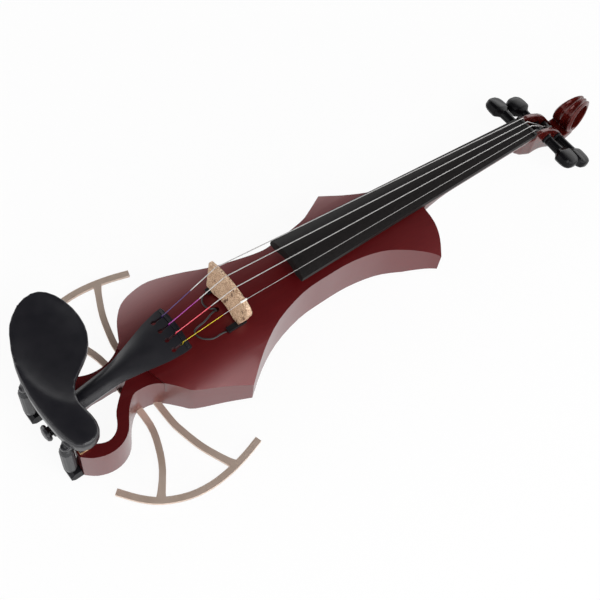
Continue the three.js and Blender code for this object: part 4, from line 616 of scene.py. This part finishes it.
def dress_bridge():
    """A thick fan of maple: shaped row by row for its sides and faces, then column by column."""
    bridge = new_block("bridge_fan", BRIDGE_CUTS)
    steps = BRIDGE_CUTS + 1
    rows = [[] for _ in range(steps + 1)]
    columns = [[] for _ in range(steps + 1)]
    lowest = min(point.co.z for point in bridge.data.vertices)
    for point in bridge.data.vertices:
        rows[round((point.co.z - lowest) * steps)].append(point.index)
        columns[round((point.co.y - lowest) * steps)].append(point.index)
    for number, row in enumerate(rows):
        share = number / steps
        treble, bass = read_table(BRIDGE_TREBLE_SIDE, share), read_table(BRIDGE_BASS_SIDE, share)
        tail, head = read_table(BRIDGE_TAIL_FACE, share), read_table(BRIDGE_HEAD_FACE, share)
        middle = ((tail + head) / 2 * MM, (treble + bass) / 2 * MM, 0)
        pushed(bridge, row, scale=((head - tail) * MM, (bass - treble) * MM, 1), move=middle)
    top_treble, top_bass = read_table(BRIDGE_TREBLE_SIDE, 1), read_table(BRIDGE_BASS_SIDE, 1)
    for number, column in enumerate(columns):
        y = top_treble + (top_bass - top_treble) * number / steps
        foot = BRIDGE_FOOT + BRIDGE_ARCH * max(0, 1 - (y / BRIDGE_ARCH_REACH) ** 2)
        crest = BRIDGE_TOP + BRIDGE_CROWN * (1 - (y / BRIDGE_CROWN_REACH) ** 2)
        pushed(bridge, column, scale=(1, 1, (crest - foot) * MM), move=(0, 0, (crest + foot) / 2 * MM))
    beveled(bridge, BRIDGE_EDGE_ROUND, BRIDGE_EDGE_SEGMENTS, NEW_PIECE_EDGE_ANGLE)
    dressed(bridge, "bridge", speckled_maple())


def dress_sleeve():
    """The short white tube that keeps the thinnest string from cutting into the bridge."""
    sleeve = new_rod("string_e_sleeve", SLEEVE_RADIUS, SLEEVE_LENGTH, SLEEVE_SIDES)
    bpy.ops.transform.rotate(value=QUARTER_TURN, orient_axis="Y", center_override=(0, 0, 0))
    bpy.ops.transform.translate(value=SLEEVE_MIDDLE)
    bpy.ops.object.transform_apply(location=True, rotation=True, scale=True)
    beveled(sleeve, SLEEVE_EDGE_ROUND, angle=NEW_PIECE_EDGE_ANGLE)
    sleeve.data.materials.append(white_plastic())
    bpy.ops.object.shade_smooth_by_angle(angle=SMOOTH_ANGLE)
    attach(sleeve, "violin")


def dress_fittings():
    ebony = black_ebony()
    satin = satin_black()
    for node in ("fingerboard", "nut", "saddle"):
        edged(node, ebony)
    for node in ("tailpiece", "tailpiece_ridge", "end_button"):
        edged(node, satin)
    dress_chinrest(satin)
    dress_bridge()


def dress_pegs():
    polished = polished_black()
    moulded = moulded_black()
    grey = grey_moulding()
    for name in STRINGS:
        edged(f"peg_{name}_head", polished, angle=PEG_HEAD_SMOOTH_ANGLE)
        edged(f"peg_{name}_housing", moulded, FINE_EDGE_ROUND)
        plain(f"peg_{name}_spool", grey)


def dress_strings():
    for name in STRINGS:
        plain(f"string_{name}", string_winding(name), ROUND_SMOOTH_ANGLE)
    dress_sleeve()
    lead = black_lead()
    for node in ("pickup_lead_treble", "pickup_lead_bass", "tail_cord"):
        plain(node, lead, ROUND_SMOOTH_ANGLE)


def dress_clamps():
    grey = grey_moulding()
    moulded = moulded_black()
    cork = pressed_cork()
    steel = bright_steel()
    for side in SIDES:
        carved(f"clamp_{side}_barrel", grey, BARREL_GRID, BARREL_SANDINGS)
        edged(f"clamp_{side}_jaw", moulded)
        plain(f"clamp_{side}_pad", cork)
        plain(f"chinrest_cork_{side}", cork)
        plain(f"clamp_{side}_stud", steel)


def dress_wings():
    steel = satin_steel()
    screws = bright_steel()
    for side in SIDES:
        edged(f"wing_{side}", steel, FINE_EDGE_ROUND)
        for end in WING_ENDS:
            edged(f"wing_screw_{side}_{end}", screws, FINE_EDGE_ROUND)
    for number in range(COVER_SCREWS):
        edged(f"cover_screw_{number + 1}", screws, FINE_EDGE_ROUND)


def dress_electronics():
    moulded = moulded_black()
    grey = grey_moulding()
    for node in ("back_cover", "output_jack", "volume_wheel", "tone_wheel", "pickup_treble", "pickup_bass"):
        edged(node, moulded, FINE_EDGE_ROUND)
    for node in ("volume_control", "tone_control"):
        edged(node, grey, FINE_EDGE_ROUND)
    edged("battery", battery_case(), FINE_EDGE_ROUND)
    edged("preamp_board", circuit_green(), FINE_EDGE_ROUND)


# The studio: a white floor, a bright horizon and a dark ceiling.

def math_node(finish, operation, first, second):
    """A Math node on one socket and either a second socket or a number."""
    node = finish.nodes.new("ShaderNodeMath")
    node.operation = operation
    finish.links.new(first, node.inputs[0])
    if isinstance(second, bpy.types.NodeSocket):
        finish.links.new(second, node.inputs[1])
    else:
        node.inputs[1].default_value = second
    return node.outputs[0]


def studio_white():
    """White paper: plain diffuse for the light, near white for the camera and for reflections."""
    finish = Finish("studio_floor", roughness=0.9, Base_Color=(FLOOR_GREY, FLOOR_GREY, FLOOR_GREY, 1))
    glow = finish.nodes.new("ShaderNodeEmission")
    glow.inputs["Color"].default_value = (1, 1, 1, 1)
    path = finish.nodes.new("ShaderNodeLightPath").outputs
    seen = math_node(finish, "MAXIMUM", path["Is Camera Ray"], path["Is Glossy Ray"])
    mix = finish.nodes.new("ShaderNodeMixShader")
    finish.links.new(math_node(finish, "MULTIPLY", seen, FLOOR_GLOW_SHARE), mix.inputs["Fac"])
    finish.links.new(finish.shader.outputs[0], mix.inputs[1])
    finish.links.new(glow.outputs[0], mix.inputs[2])
    finish.links.new(mix.outputs[0], finish.nodes["Material Output"].inputs["Surface"])
    return finish.material


def lay_floor():
    """The floor touches the tail jaws and the scroll, the two places that the violin rests on."""
    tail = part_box("clamp_bass_jaw")[0]
    head_low, head_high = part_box("neck_and_scroll")
    slope = math.atan2(tail.z - head_low.z, head_high.x - SCROLL_HEEL_BACK - tail.x)
    bpy.ops.object.select_all(action="DESELECT")
    bpy.ops.mesh.primitive_plane_add(size=FLOOR_SIZE, location=(0, 0, 0))
    floor = bpy.context.object
    floor.name = "floor"
    under_jaws = Matrix.Translation((tail.x, 0, tail.z - FLOOR_ROOM))
    floor.data.transform(under_jaws @ Matrix.Rotation(slope, 4, "Y"))
    floor.data.materials.append(studio_white())


def area_light(name, place, target, size, power):
    data = bpy.data.lights.new(name, "AREA")
    data.shape = "RECTANGLE"
    data.size, data.size_y = size
    data.energy = power
    light = bpy.data.objects.new(name, data)
    bpy.context.scene.collection.objects.link(light)
    aim = (Vector(target) - Vector(place)).to_track_quat("-Z", "Y")
    light.matrix_world = Matrix.Translation(place) @ aim.to_matrix().to_4x4()


def light_studio():
    """A gradient world for the large soft reflections, and three lamps for light and shadow."""
    world = bpy.data.worlds.new("studio_world")
    world.use_nodes = True
    nodes = world.node_tree.nodes
    links = world.node_tree.links
    direction = nodes.new("ShaderNodeTexCoord").outputs["Generated"]
    parts = nodes.new("ShaderNodeSeparateXYZ")
    links.new(direction, parts.inputs["Vector"])
    sky = nodes.new("ShaderNodeValToRGB")
    set_stops(sky.color_ramp, SKY)
    links.new(parts.outputs["Z"], sky.inputs["Fac"])
    links.new(sky.outputs["Color"], nodes["Background"].inputs["Color"])
    nodes["Background"].inputs["Strength"].default_value = SKY_STRENGTH
    bpy.context.scene.world = world
    for name, (place, target, size, power) in LAMPS.items():
        area_light(name, place, target, size, power)
    bpy.context.scene.view_settings.view_transform = "Standard"


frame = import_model()
photo_camera()
dress_strings()
dress_body()
dress_fittings()
dress_pegs()
dress_clamps()
dress_wings()
dress_electronics()
lay_floor()
light_studio()
